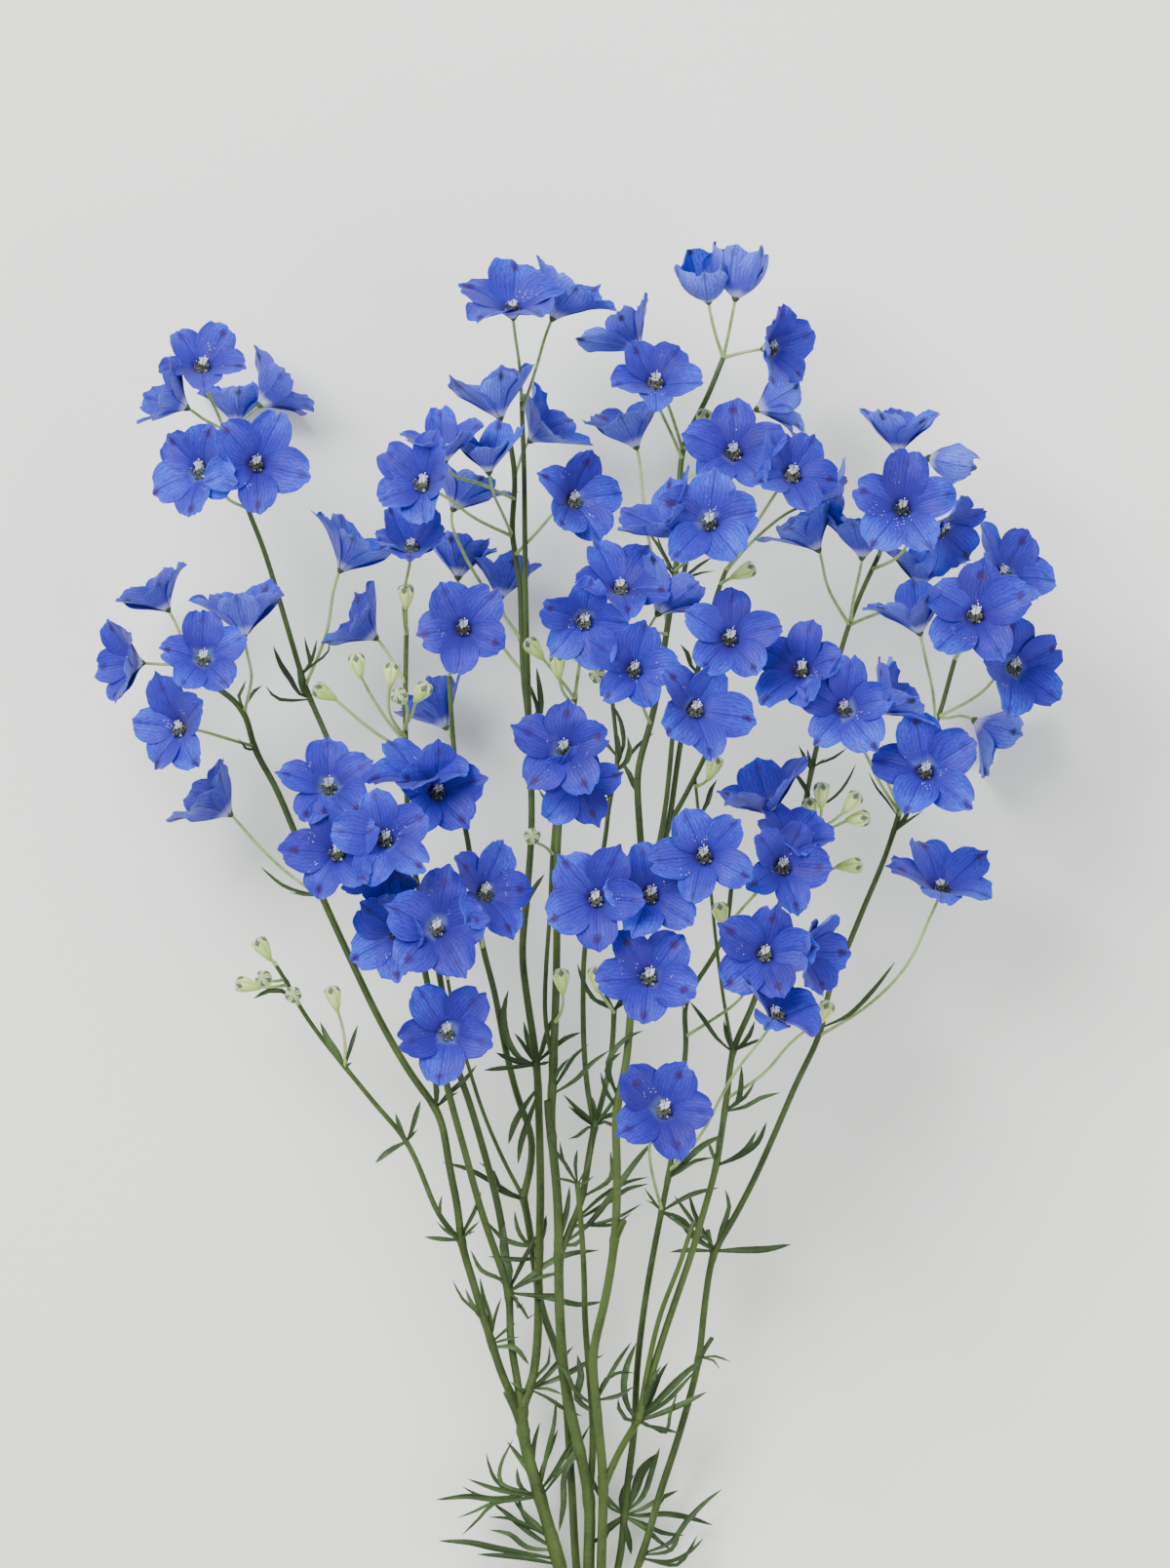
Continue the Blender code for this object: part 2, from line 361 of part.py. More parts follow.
LEAVES = (
    Leaf("left", (550, 1540), 3, ((448, 1546), (452, 1592), (478, 1528), (498, 1502), (520, 1488),
                                 (554, 1470), (586, 1486))),
    Leaf("left_straight", (548, 1412), 5, ((566, 1392), (556, 1384), (568, 1438))),
    Leaf("left_tall", (522, 1332), 4, ((482, 1290), (517, 1258), (545, 1296), (610, 1290), (618, 1340),
                                      (545, 1356))),
    Leaf("left_outer", (492, 1348), 0, ((463, 1320), (489, 1318), (513, 1340))),
    Leaf("left_outer", (472, 1278), 3, ((450, 1230), (434, 1272), (492, 1226))),
    Leaf("left_bud", (415, 1172), 0, ((404, 1143), (430, 1131), (384, 1195))),
    Leaf("left_bud", (352, 1097), 0, ((328, 1051), (366, 1054))),
    Leaf("left_bud", (300, 1026), -3, ((258, 1026),)),
    Leaf("left_outer", (449, 1140), 3, ((446, 1100), (478, 1094), (424, 1120))),
    Leaf("left_straight", (550, 1092), 5, ((496, 1100), (517, 1012), (516, 1078))),
    Leaf("left_straight", (544, 862), 4, ((522, 826),)),
    Leaf("left_straight", (541, 930), 4, ((558, 897),)),
    Leaf("left_tall", (312, 706), 4, ((278, 662), (272, 706), (311, 656))),
    Leaf("left_outer", (249, 728), 4, ((250, 698), (268, 702))),
    Leaf("left_outer", (329, 921), 3, ((267, 891),)),
    Leaf("slender", (536, 1234), -3, ((455, 1197), (500, 1186))),
    Leaf("middle", (566, 1088), 6, ((583, 1052), (592, 1080), (556, 1050))),
    Leaf("middle_thin", (592, 1216), 3, ((566, 1160), (586, 1188))),
    Leaf("middle_fork", (609, 1157), 4, ((583, 1130), (650, 1143), (612, 1108), (590, 1166))),
    Leaf("middle_fork", (578, 1276), 4, ((672, 1168), (660, 1218), (584, 1222))),
    Leaf("middle_fork_right", (630, 1038), 4, ((618, 1008), (652, 1022), (606, 1030))),
    Leaf("pale", (612, 1450), 6, ((588, 1396), (648, 1386), (636, 1434))),
    Leaf("pale", (632, 1140), 5, ((662, 1058), (618, 1086), (600, 1106))),
    Leaf("pale_right", (656, 1462), 4, ((650, 1385), (684, 1405), (718, 1402), (726, 1434), (698, 1475))),
    Leaf("inner_right", (641, 1562), -6, ((730, 1574), (738, 1540), (678, 1496), (651, 1524), (632, 1606))),
    Leaf("inner_right", (679, 1246), 3, ((738, 1222), (664, 1226), (702, 1272))),
    Leaf("right", (732, 1288), 2, ((812, 1281), (698, 1260), (688, 1286), (747, 1224), (756, 1250))),
    Leaf("right", (846, 1056), 3, ((920, 988),)),
    Leaf("pale_right_long", (736, 1196), 4, ((780, 1154), (740, 1166), (706, 1190))),
    Leaf("pale_right_long", (745, 1136), 4, ((800, 1122), (756, 1080), (773, 1112))),
    Leaf("pale_right_long", (752, 1076), 3, ((744, 1020), (720, 1044), (776, 1066))),
    Leaf("pale_right_long", (834, 787), 3, ((813, 764), (870, 770), (816, 790), (876, 786))),
    Leaf("pale_middle_top", (716, 790), 3, ((734, 802),)),
    Leaf("pale", (693, 586), 3, ((668, 548), (658, 562), (732, 572))),
    Leaf("pale_right_top", (752, 560), 0, ()),
)

COLOURS = {
    "sepal": ((0.035, 0.10, 0.72, 1.0), 0.55),
    "leafy": ((0.12, 0.24, 0.06, 1.0), 0.6),
}


def smooth(x):
    """Ease from 0 to 1 as x goes from 0 to 1."""
    x = min(max(x, 0.0), 1.0)
    return x * x * (3.0 - 2.0 * x)


def photo_point(x, y, height):
    """A photo pixel at a height in millimetres, as a point in metres."""
    return Vector(((x - MIDDLE_X) * PHOTO_PIXEL, (MIDDLE_Y - y) * PHOTO_PIXEL, height * MM))


def facing_rotation(facing):
    """The rotation that turns +Z to a facing by the shortest way."""
    return Vector((0.0, 0.0, 1.0)).rotation_difference(Vector(facing).normalized())


def new_object(name, mesh, collection):
    obj = bpy.data.objects.new(name, mesh)
    collection.objects.link(obj)
    return obj


def trimmed(path, tolerance):
    """Leave out the points of a path that lie on a nearly straight run."""
    if len(path) < 3:
        return list(path)
    run = path[-1] - path[0]
    worst = 0.0
    middle = 0
    for index in range(1, len(path) - 1):
        away = path[index] - path[0]
        off = (away - run * (away.dot(run) / run.length_squared)).length
        if off > worst:
            worst = off
            middle = index
    if worst <= tolerance:
        return [path[0], path[-1]]
    return trimmed(path[:middle + 1], tolerance)[:-1] + trimmed(path[middle:], tolerance)


class Layout:
    """Where each stem runs, worked out from root to tip."""

    def __init__(self):
        self.paths = {}
        for stem in STEMS:
            self.paths[stem.name] = self.stem_path(stem)

    def stem_path(self, stem):
        if stem.parent is None:
            root = photo_point(*stem.points[0], stem.start)
        else:
            root = self.nearest(stem.parent, stem.points[0])
        path = [root]
        run = 0.0
        before = Vector(stem.points[0])
        for pixel in stem.points[1:]:
            run += (Vector(pixel) - before).length
            before = Vector(pixel)
            height = root.z / MM + (stem.level - root.z / MM) * smooth(run / stem.blend)
            path.append(photo_point(*pixel, height))
        return trimmed(path, STRAIGHT)

    def nearest(self, name, pixel):
        """The point of a stem's path that lies nearest to a photo pixel."""
        goal = photo_point(*pixel, 0.0)
        best = None
        path = self.paths[name]
        for start, end in zip(path, path[1:]):
            flat = (end - start).to_2d()
            share = (goal - start).to_2d().dot(flat) / max(flat.length_squared, 1e-12)
            point = start.lerp(end, min(max(share, 0.0), 1.0))
            away = (point - goal).to_2d().length
            if best is None or away < best[0]:
                best = (away, point)
        return best[1]

    def stalk(self, stem, root, via, end, approach):
        """A stalk's points from a stem to a seat, the last run along the approach."""
        start = self.nearest(stem, root)
        flat = [start.to_2d()]
        flat += [photo_point(*pixel, 0.0).to_2d() for pixel in via]
        before_end = end - approach
        flat.append(before_end.to_2d())
        lengths = [(b - a).length for a, b in zip(flat, flat[1:])]
        total = max(sum(lengths), 1e-6)
        points = [start]
        run = 0.0
        for point, length in zip(flat[1:-1], lengths):
            run += length
            height = start.z + (before_end.z - start.z) * smooth(run / total)
            points.append(Vector((point.x, point.y, height)))
        points.append(before_end)
        points.append(end)
        return trimmed(points[:-1], STRAIGHT) + points[-1:]


def sepal_shapes(bloom):
    """Small differences between a bloom's sepals, drawn in a fixed order."""
    draw = random.Random(bloom.name)
    shapes = []
    for index in range(SEPALS):
        shapes.append({
            "turn": math.radians(bloom.roll + 360.0 * index / SEPALS + draw.uniform(-5.0, 5.0)),
            "length": draw.uniform(0.93, 1.06),
            "flare": draw.uniform(-7.0, 7.0),
            "twist": draw.uniform(-0.16, 0.16),
            "phase": draw.uniform(0.0, 2.0 * math.pi),
            "wave": draw.uniform(0.02, 0.045),
        })
    return shapes


def sepal_half_width(along):
    """Half the width of a sepal, as a share of its widest half."""
    if along < 0.68:
        return 0.22 + 0.78 * math.sin(math.pi / 2.0 * along / 0.68) ** 1.5
    return 1.0 - 0.30 * ((along - 0.68) / 0.32) ** 2


def sepal_point(bloom, shape, across, along):
    """A point of a sepal in its bloom's frame, throat at the origin, facing +Z."""
    length = bloom.sepal * MM * shape["length"]
    reach = along * (1.0 - 0.22 * across * across * along ** 3)
    first = math.radians(min(CLAW_ANGLE, bloom.flare))
    last = math.radians(bloom.flare + shape["flare"])
    bend = max(last - first, 0.02)
    angle = first + bend * reach
    out = THROAT_RADIUS + length * (math.cos(first) - math.cos(angle)) / bend
    height = -THROAT_DEPTH + length * (math.sin(angle) - math.sin(first)) / bend
    half = SEPAL_WIDTH * bloom.sepal * MM * sepal_half_width(along)
    side = across * half
    lift = 0.16 * half * across * across + side * shape["twist"] * along
    lift += length * shape["wave"] * along ** 3 * math.sin(3.2 * across + shape["phase"])
    out -= lift * math.cos(angle)
    height += lift * math.sin(angle)
    cosine = math.cos(shape["turn"])
    sine = math.sin(shape["turn"])
    return Vector((out * cosine - side * sine, out * sine + side * cosine, height))


def bloom_sheet(bloom):
    """Rings of a bloom's sheet: centre, inner ring, middle ring and outline."""
    shapes = sepal_shapes(bloom)
    inner = []
    middle = []
    outline = []
    for index, shape in enumerate(shapes):
        following = shapes[(index + 1) % SEPALS]
        inner.append(sepal_point(bloom, shape, 0.0, 0.1))
        middle.append(sepal_point(bloom, shape, 0.0, 0.5))
        for side in (-0.72, 0.72):
            corner = sepal_point(bloom, shape, side, 0.96)
            outline.append(corner + (corner - middle[-1]) * CORNER_REACH)
        near = sepal_point(bloom, shape, 1.0, 0.45)
        far = sepal_point(bloom, following, -1.0, 0.45)
        outline.append((near + far) / 2.0)
    return inner, middle, outline


def bloom_object(bloom, collection):
    """One bloom as a closed thin cup with a raised bee and a receptacle."""
    inner, middle, outline = bloom_sheet(bloom)
    mesh = bpy.data.meshes.new(bloom.name)
    edit = bmesh.new()
    centre = edit.verts.new((0.0, 0.0, -THROAT_DEPTH))
    inner = [edit.verts.new(point) for point in inner]
    middle = [edit.verts.new(point) for point in middle]
    outline = [edit.verts.new(point) for point in outline]
    for index in range(SEPALS):
        following = (index + 1) % SEPALS
        rib = middle[index]
        next_rib = middle[following]
        left, right, notch = outline[3 * index:3 * index + 3]
        next_left = outline[3 * following]
        edit.faces.new((centre, inner[index], inner[following]))
        edit.faces.new((inner[index], rib, notch))
        edit.faces.new((inner[index], notch, inner[following]))
        edit.faces.new((inner[following], notch, next_rib))
        edit.faces.new((rib, left, right))
        edit.faces.new((rib, right, notch))
        edit.faces.new((next_rib, notch, next_left))
    edit.to_mesh(mesh)
    edit.free()
    obj = new_object(bloom.name, mesh, collection)
    shell = obj.modifiers.new("Shell", "SOLIDIFY")
    shell.thickness = SHEET
    shell.offset = 0.0
    obj = applied(obj, collection)
    shape_throat(obj.data, len(inner))
    obj.rotation_mode = "QUATERNION"
    obj.rotation_quaternion = facing_rotation(bloom.facing)
    obj.location = photo_point(*bloom.throat, bloom.height)
    return obj


def shape_throat(mesh, ring):
    """Raise the bee in front and close the receptacle behind."""
    edit = bmesh.new()
    edit.from_mesh(mesh)
    edit.verts.ensure_lookup_table()
    half = len(edit.verts) // 2
    sides = (edit.verts[0], edit.verts[half])
    front = max(sides, key=lambda vertex: vertex.co.z)
    back = min(sides, key=lambda vertex: vertex.co.z)
    front.co = (0.0, 0.0, BEE_HEIGHT)
    start = back.index
    behind = edit.verts[start:start + ring + 1]
    seat = (0.0, 0.0, -THROAT_DEPTH - RECEPTACLE)
    bmesh.ops.pointmerge(edit, verts=behind, merge_co=seat)
    bmesh.ops.recalc_face_normals(edit, faces=edit.faces)
    edit.to_mesh(mesh)
    edit.free()


def applied(obj, collection):
    """The object's evaluated mesh in world space, as a new plain object."""
    bpy.context.view_layer.update()
    graph = bpy.context.evaluated_depsgraph_get()
    mesh = bpy.data.meshes.new_from_object(obj.evaluated_get(graph))
    mesh.transform(obj.matrix_world)
    if obj.type == "CURVE":
        weld(mesh)
    name = obj.name
    bpy.data.objects.remove(obj)
    return new_object(name, mesh, collection)


def weld(mesh):
    edit = bmesh.new()
    edit.from_mesh(mesh)
    bmesh.ops.remove_doubles(edit, verts=edit.verts, dist=1e-6)
    bmesh.ops.recalc_face_normals(edit, faces=edit.faces)
    edit.to_mesh(mesh)
    edit.free()


def tube(name, points, root_radius, tip_radius, detail, collection):
    """A tapered round tube with filled caps along a path."""
    curve = bpy.data.curves.new(name, "CURVE")
    curve.dimensions = "3D"
    curve.bevel_depth = 1.0
    curve.bevel_resolution = detail
    curve.use_fill_caps = True
    spline = curve.splines.new("POLY")
    spline.points.add(len(points) - 1)
    for index, point in enumerate(points):
        share = index / (len(points) - 1)
        spline.points[index].co = (*point, 1.0)
        spline.points[index].radius = root_radius + (tip_radius - root_radius) * share
    return new_object(name, curve, collection)


def loft(name, rings, collection):
    """A closed solid through rings of points, a single point closing each end."""
    mesh = bpy.data.meshes.new(name)
    edit = bmesh.new()
    rows = [[edit.verts.new(point) for point in ring] for ring in rings]
    for near, far in zip(rows, rows[1:]):
        count = max(len(near), len(far))
        for side in range(count):
            following = (side + 1) % count
            if len(near) == 1:
                edit.faces.new((near[0], far[following], far[side]))
            elif len(far) == 1:
                edit.faces.new((near[side], near[following], far[0]))
            else:
                edit.faces.new((near[side], near[following], far[following], far[side]))
    for row in (rows[0], rows[-1]):
        if len(row) > 2:
            edit.faces.new(row)
    bmesh.ops.recalc_face_normals(edit, faces=edit.faces)
    edit.to_mesh(mesh)
    edit.free()
    return new_object(name, mesh, collection)


def blade(name, root, tip, draw, collection):
    """A thin arched leaf lobe, flat and tapered, with a ridge below its middle."""
    run = tip - root
    side = run.cross(Vector((0.0, 0.0, 1.0))).normalized()
    up = side.cross(run).normalized()
    arch = up * run.length * draw.uniform(0.04, 0.10) + side * run.length * draw.uniform(-0.08, 0.08)
    rings = []
    for share, width in ((0.0, 0.6), (0.6, 1.0)):
        middle = root.lerp(tip, share) + arch * math.sin(math.pi * share)
        half = side * BLADE_WIDTH / 2.0 * width
        depth = up * BLADE_DEPTH * (0.7 + 0.3 * width)
        rings.append([middle - half, middle - depth, middle + half])
    rings.append([tip])
    return loft(name, rings, collection)


def bud_object(name, bud, collection):
    """A five-lobed barrel bud, seated on its stalk."""
    turn = facing_rotation(bud.facing)
    centre = photo_point(*bud.centre, bud.height)
    rings = [[Vector((0.0, 0.0, -BUD_LENGTH * 0.5))]]
    for along, width, twist in ((0.05, 1.0, 0.0), (0.5, 0.6, 0.0)):
        ring = []
        for index in range(SEPALS):
            angle = 2.0 * math.pi * (index + twist) / SEPALS
            out = BUD_RADIUS * width
            ring.append(Vector((out * math.cos(angle), out * math.sin(angle), along * BUD_LENGTH)))
        rings.append(ring)
    rings = [[centre + turn @ point for point in ring] for ring in rings]
    return loft(name, rings, collection)


def union(name, node_collection, pieces):
    """Join a list of solids into one node with a single Boolean on a collection."""
    base = pieces[0]
    if len(pieces) > 1:
        joined = bpy.data.collections.new(name + "_pieces")
        bpy.context.scene.collection.children.link(joined)
        for piece in pieces[1:]:
            for holder in piece.users_collection:
                holder.objects.unlink(piece)
            joined.objects.link(piece)
        cut = base.modifiers.new("Union", "BOOLEAN")
        cut.operation = "UNION"
        cut.operand_type = "COLLECTION"
        cut.collection = joined
        cut.solver = SOLVERS.get(name, "EXACT")
        result = applied(base, node_collection)
        for piece in list(joined.objects):
            bpy.data.objects.remove(piece)
        bpy.data.collections.remove(joined)
    else:
        result = applied(base, node_collection)
    result.name = name
    result.data.name = name
    return result


SOLVERS = {
    "leafy_stem_inner_right": "MANIFOLD",
    "leafy_stem_left": "MANIFOLD",
    "leafy_stem_middle": "MANIFOLD",
    "leafy_stem_pale": "MANIFOLD",
    "leafy_stem_right": "MANIFOLD",
    "leafy_stem_slender": "MANIFOLD",
}


def material(name):
    colour, roughness = COLOURS[name]
    made = bpy.data.materials.new(name)
    made.use_nodes = True
    shader = made.node_tree.nodes["Principled BSDF"]
    shader.inputs["Base Color"].default_value = colour
    shader.inputs["Roughness"].default_value = roughness
    shader.inputs["Metallic"].default_value = 0.0
    return made


def bloom_groups(parts, work, sepal):
    names = []
    for bloom in BLOOMS:
        if bloom.group not in names:
            names.append(bloom.group)
    made = {}
    for name in names:
        pieces = [bloom_object(bloom, work) for bloom in BLOOMS if bloom.group == name]
        node = union("blooms_" + name if len(pieces) > 1 else "bloom_" + name, parts, pieces)
        node.data.materials.append(sepal)
        made[name] = node
    return made


def crown(layout, work):
    """The swollen foot of the plant, tapering to its cut end."""
    top = photo_point(*CROWN_TOP, CROWN_HEIGHT)
    end = photo_point(*CROWN_END, CUT_HEIGHT)
    waist = top.lerp(end, 0.45)
    side = Vector((1.0, 0.0, 0.0))
    up = Vector((0.0, 0.0, 1.0))
    rings = []
    for centre, radius in ((top, CROWN_RADIUS), (waist, CUT_RADIUS * 1.12), (end, CUT_RADIUS)):
        ring = []
        for index in range(CROWN_SIDES):
            angle = 2.0 * math.pi * (index + 0.5) / CROWN_SIDES
            ring.append(centre + side * radius * math.cos(angle) + up * radius * math.sin(angle))
        rings.append(ring)
    return loft("crown", rings, work)


def stem_nodes(layout, parts, work, leafy):
    """Each leafy stem with its branches, stalks, buds and leaves in one solid."""
    pieces = {}
    order = []
    for stem in STEMS:
        detail = 1 if stem.root_radius > 1.7 else 0
        path = layout.paths[stem.name]
        if stem.parent is None:
            step = seat_step(stem)
            path = [path[0] + step, path[0] + step + Vector((0.0, 3.0 * MM, 0.0))] + path[1:]
        made = tube(stem.name, path, stem.root_radius * MM, stem.tip_radius * MM, detail, work)
        pieces.setdefault(stem.node, []).append(made)
        order.append(stem.node)
    nodes = {stem.name: stem.node for stem in STEMS}
    for bloom in BLOOMS:
        facing = Vector(bloom.facing).normalized()
        seat = photo_point(*bloom.throat, bloom.height)
        end = seat - facing * (THROAT_DEPTH + RECEPTACLE + SEAT_GAP)
        path = layout.stalk(bloom.stem, bloom.root, bloom.via, end, facing * 5.0 * MM)
        made = tube("stalk_" + bloom.name, path, STALK_RADIUS, STALK_RADIUS, 0, work)
        pieces[nodes[bloom.stem]].append(made)
    for index, bud in enumerate(BUDS):
        facing = Vector(bud.facing).normalized()
        seat = photo_point(*bud.centre, bud.height) - facing * BUD_LENGTH * 0.28
        path = layout.stalk(bud.stem, bud.root, bud.via, seat, facing * 4.0 * MM)
        pieces[nodes[bud.stem]].append(tube(f"bud_stalk_{index}", path, STALK_RADIUS, STALK_RADIUS, 0, work))
        pieces[nodes[bud.stem]].append(bud_object(f"bud_{index}", bud, work))
    draw = random.Random("leaves")
    for leaf in LEAVES:
        root = layout.nearest(leaf.stem, leaf.root)
        for index, tip in enumerate(leaf.tips):
            lift = root.z / MM + leaf.lift + draw.uniform(-3.0, 5.0)
            end = photo_point(*tip, lift)
            start = root + (root - end).normalized() * (0.2 + 0.15 * index) * MM
            made = blade(f"blade_{leaf.stem}_{index}", start, end, draw, work)
            pieces[nodes[leaf.stem]].append(made)
    pieces["left"].append(crown(layout, work))
    bpy.context.view_layer.update()
    made = {}
    for node in dict.fromkeys(order):
        solids = []
        for piece in pieces[node]:
            solids.append(applied(piece, work) if piece.type == "CURVE" else piece)
        made[node] = union("leafy_stem_" + node, parts, solids)
        made[node].data.materials.append(leafy)
    return made


def seat_step(stem):
    """How far a leafy stem's root stands off the crown's top, or sinks into it."""
    if stem.name == "left":
        return Vector((0.0, -3.0 * MM, 0.0))
    return Vector((0.0, PHOTO_PIXEL * (CROWN_TOP[1] - stem.points[0][1]) * -1.0 + SEAT_GAP, 0.0))


def flatten_on_surface(obj, work):
    """Cut a resting node level with the surface."""
    bpy.ops.mesh.primitive_cube_add(size=1.0, location=(0.0, 0.0, -FLOOR_DEPTH / 2.0))
    floor = bpy.context.object
    floor.name = "surface_" + obj.name
    floor.scale = (FLOOR_SIZE, FLOOR_SIZE, FLOOR_DEPTH)
    cut = obj.modifiers.new("Surface", "BOOLEAN")
    cut.operation = "DIFFERENCE"
    cut.object = floor
    cut.solver = "EXACT"
    floor.hide_render = True
    floor.display_type = "WIRE"
    holder = obj.users_collection[0]
    name = obj.name
    result = applied(obj, holder)
    result.name = name
    bpy.data.objects.remove(floor)
    return result


RESTING = ("blooms_top_left_back", "bloom_far_right_low", "leafy_stem_left")


def main():
    for obj in list(bpy.data.objects):
        bpy.data.objects.remove(obj)
    parts = bpy.data.collections.new("delphinium_flower_spray")
    work = bpy.data.collections.new("work")
    bpy.context.scene.collection.children.link(parts)
    bpy.context.scene.collection.children.link(work)
    layout = Layout()
    bloom_groups(parts, work, material("sepal"))
    stem_nodes(layout, parts, work, material("leafy"))
    for name in RESTING:
        flatten_on_surface(bpy.data.objects[name], work)
    bpy.data.collections.remove(work)


main()
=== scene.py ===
"""Looks of a cut delphinium spray, laid down and seen from above.

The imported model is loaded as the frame. Every bloom, stem, bud and leaf of it
is replaced by a finer piece of the same place and form, with veins, ridges and
stamens added, and is dressed in procedural finishes.
"""

import json
import logging
import math
import random
from collections.abc import Callable, Sequence
from dataclasses import dataclass, field, fields
from enum import Enum

import bpy
import numpy as np
from mathutils import Matrix, Quaternion, Vector

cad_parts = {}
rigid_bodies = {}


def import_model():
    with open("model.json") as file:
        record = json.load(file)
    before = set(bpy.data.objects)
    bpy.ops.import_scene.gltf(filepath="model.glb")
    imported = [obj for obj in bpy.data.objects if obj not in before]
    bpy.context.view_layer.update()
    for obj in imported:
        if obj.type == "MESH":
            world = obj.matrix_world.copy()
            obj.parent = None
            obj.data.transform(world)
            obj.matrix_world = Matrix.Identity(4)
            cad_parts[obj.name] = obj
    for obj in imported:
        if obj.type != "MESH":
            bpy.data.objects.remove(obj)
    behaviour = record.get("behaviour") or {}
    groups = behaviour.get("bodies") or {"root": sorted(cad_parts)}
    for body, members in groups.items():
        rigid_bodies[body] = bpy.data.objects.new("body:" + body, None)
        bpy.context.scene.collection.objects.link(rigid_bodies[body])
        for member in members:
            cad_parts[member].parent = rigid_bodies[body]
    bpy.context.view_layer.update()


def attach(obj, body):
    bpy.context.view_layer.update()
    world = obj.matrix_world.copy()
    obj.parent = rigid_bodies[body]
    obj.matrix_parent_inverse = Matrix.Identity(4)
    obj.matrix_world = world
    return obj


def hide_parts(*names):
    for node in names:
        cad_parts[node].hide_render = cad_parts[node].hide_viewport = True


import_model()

LOG = logging.getLogger("delphinium")
MM = 0.001

# Scale of the photograph and the point of it that stands over the origin
PHOTO_PIXEL = 0.36 * MM
MIDDLE_X = 592.2
MIDDLE_Y = 1026.6
PHOTO_WIDTH = 1200
PHOTO_HEIGHT = 1608

# Sizes that blooms and their stalks share
SEPALS = 5
THROAT_RADIUS = 1.2 * MM
THROAT_DEPTH = 2.6 * MM
SEAT_DEPTH = 1.6 * MM

# Blooms whose facing rises less than this are seen from the side
SIDE_ON = 0.4

# Shares along a form, and its width at each of them
BUD_PROFILE = ((0.0, 0.06, 0.25, 0.5, 0.72, 0.88, 0.96, 1.0), (0.0, 0.24, 0.52, 0.82, 1.0, 0.90, 0.58, 0.0))
LOBE_PROFILE = ((0.0, 0.12, 0.35, 0.6, 0.8, 0.92, 1.0), (0.35, 0.5, 0.88, 1.0, 0.74, 0.42, 0.04))
FOOT_PROFILE = ((0.0, 0.03, 0.1, 0.45, 1.0), (0.93, 0.99, 1.0, 0.62, 0.55))

# Faces that meet at less than this angle look smooth
SMOOTH_ANGLE = math.radians(50.0)

# Metres within which points are welded or count as one, and what stands in for a length of 0
WELD_DISTANCE = 1e-6
SAME_PLACE = 1e-5
TINY = 1e-12

# How far a tube's pointed ends reach, as a share of its radius, and when a direction counts as steep
TUBE_CAP = 0.35
STEEP = 0.9

# Sockets of the Mix node that take and give colours
MIX_INPUTS = (0, 6, 7)
MIX_RESULT = 2

# A span is a range, a ramp is a range with its results at both ends, and a shape gives the points of
# a sheet for shares along and across it
Piece = bpy.types.Object
Socket = bpy.types.NodeSocket
Pixel = tuple[float, float]
Span = tuple[float, float]
Triple = tuple[float, float, float]
Ramp = tuple[float, float, float, float]
Colour = tuple[float, float, float, float]
Shape = Callable[[np.ndarray, np.ndarray], np.ndarray]


class Finish(Enum):
    """The surfaces that the plant shows."""

    PETAL_FACE = "petal_face"
    PETAL_BACK = "petal_back"
    STEM = "stem"
    STALK = "stalk"
    LEAF = "leaf"
    BUD = "bud"
    ANTHER = "anther"
    FILAMENT = "filament"
    TUFT = "tuft"
    CUT = "cut_pith"


@dataclass(frozen=True)
class Bloom:
    """One bloom, with the photo pixels of its stalk from its root on the stem.

    The throat is a photo pixel and a height in millimetres. The sepal is a length in millimetres.
    Flare and roll are in degrees, and a closed bloom has a flare under 0.
    """

    name: str
    throat: Triple
    facing: Triple
    sepal: float
    flare: float
    roll: float
    stem: str
    route: tuple[Pixel, ...]

    @property
    def closed(self) -> bool:
        """Whether the bloom is still closed."""
        return self.flare < 0.0

    @property
    def side_on(self) -> bool:
        """Whether the bloom is seen from the side."""
        return self.facing[2] < SIDE_ON


@dataclass(frozen=True)
class Stem:
    """A stem or branch: its rise in millimetres and its route in photo pixels, root to tip.

    It starts at a height, or at its parent, and eases to its level over a blend in pixels.
    """

    node: str
    name: str
    parent: str | None
    start: float
    level: float
    blend: float
    root_radius: float
    tip_radius: float
    route: tuple[Pixel, ...]


@dataclass(frozen=True)
class Bud:
    """A closed bud: its photo pixel and height, its facing and the route of its stalk."""

    stem: str
    centre: Triple
    facing: Triple
    route: tuple[Pixel, ...]


@dataclass(frozen=True)
class Lobe:
    """A long curved leaf lobe: its width and its route in photo pixels, root to point."""

    stem: str
    width: float
    route: tuple[Pixel, ...]


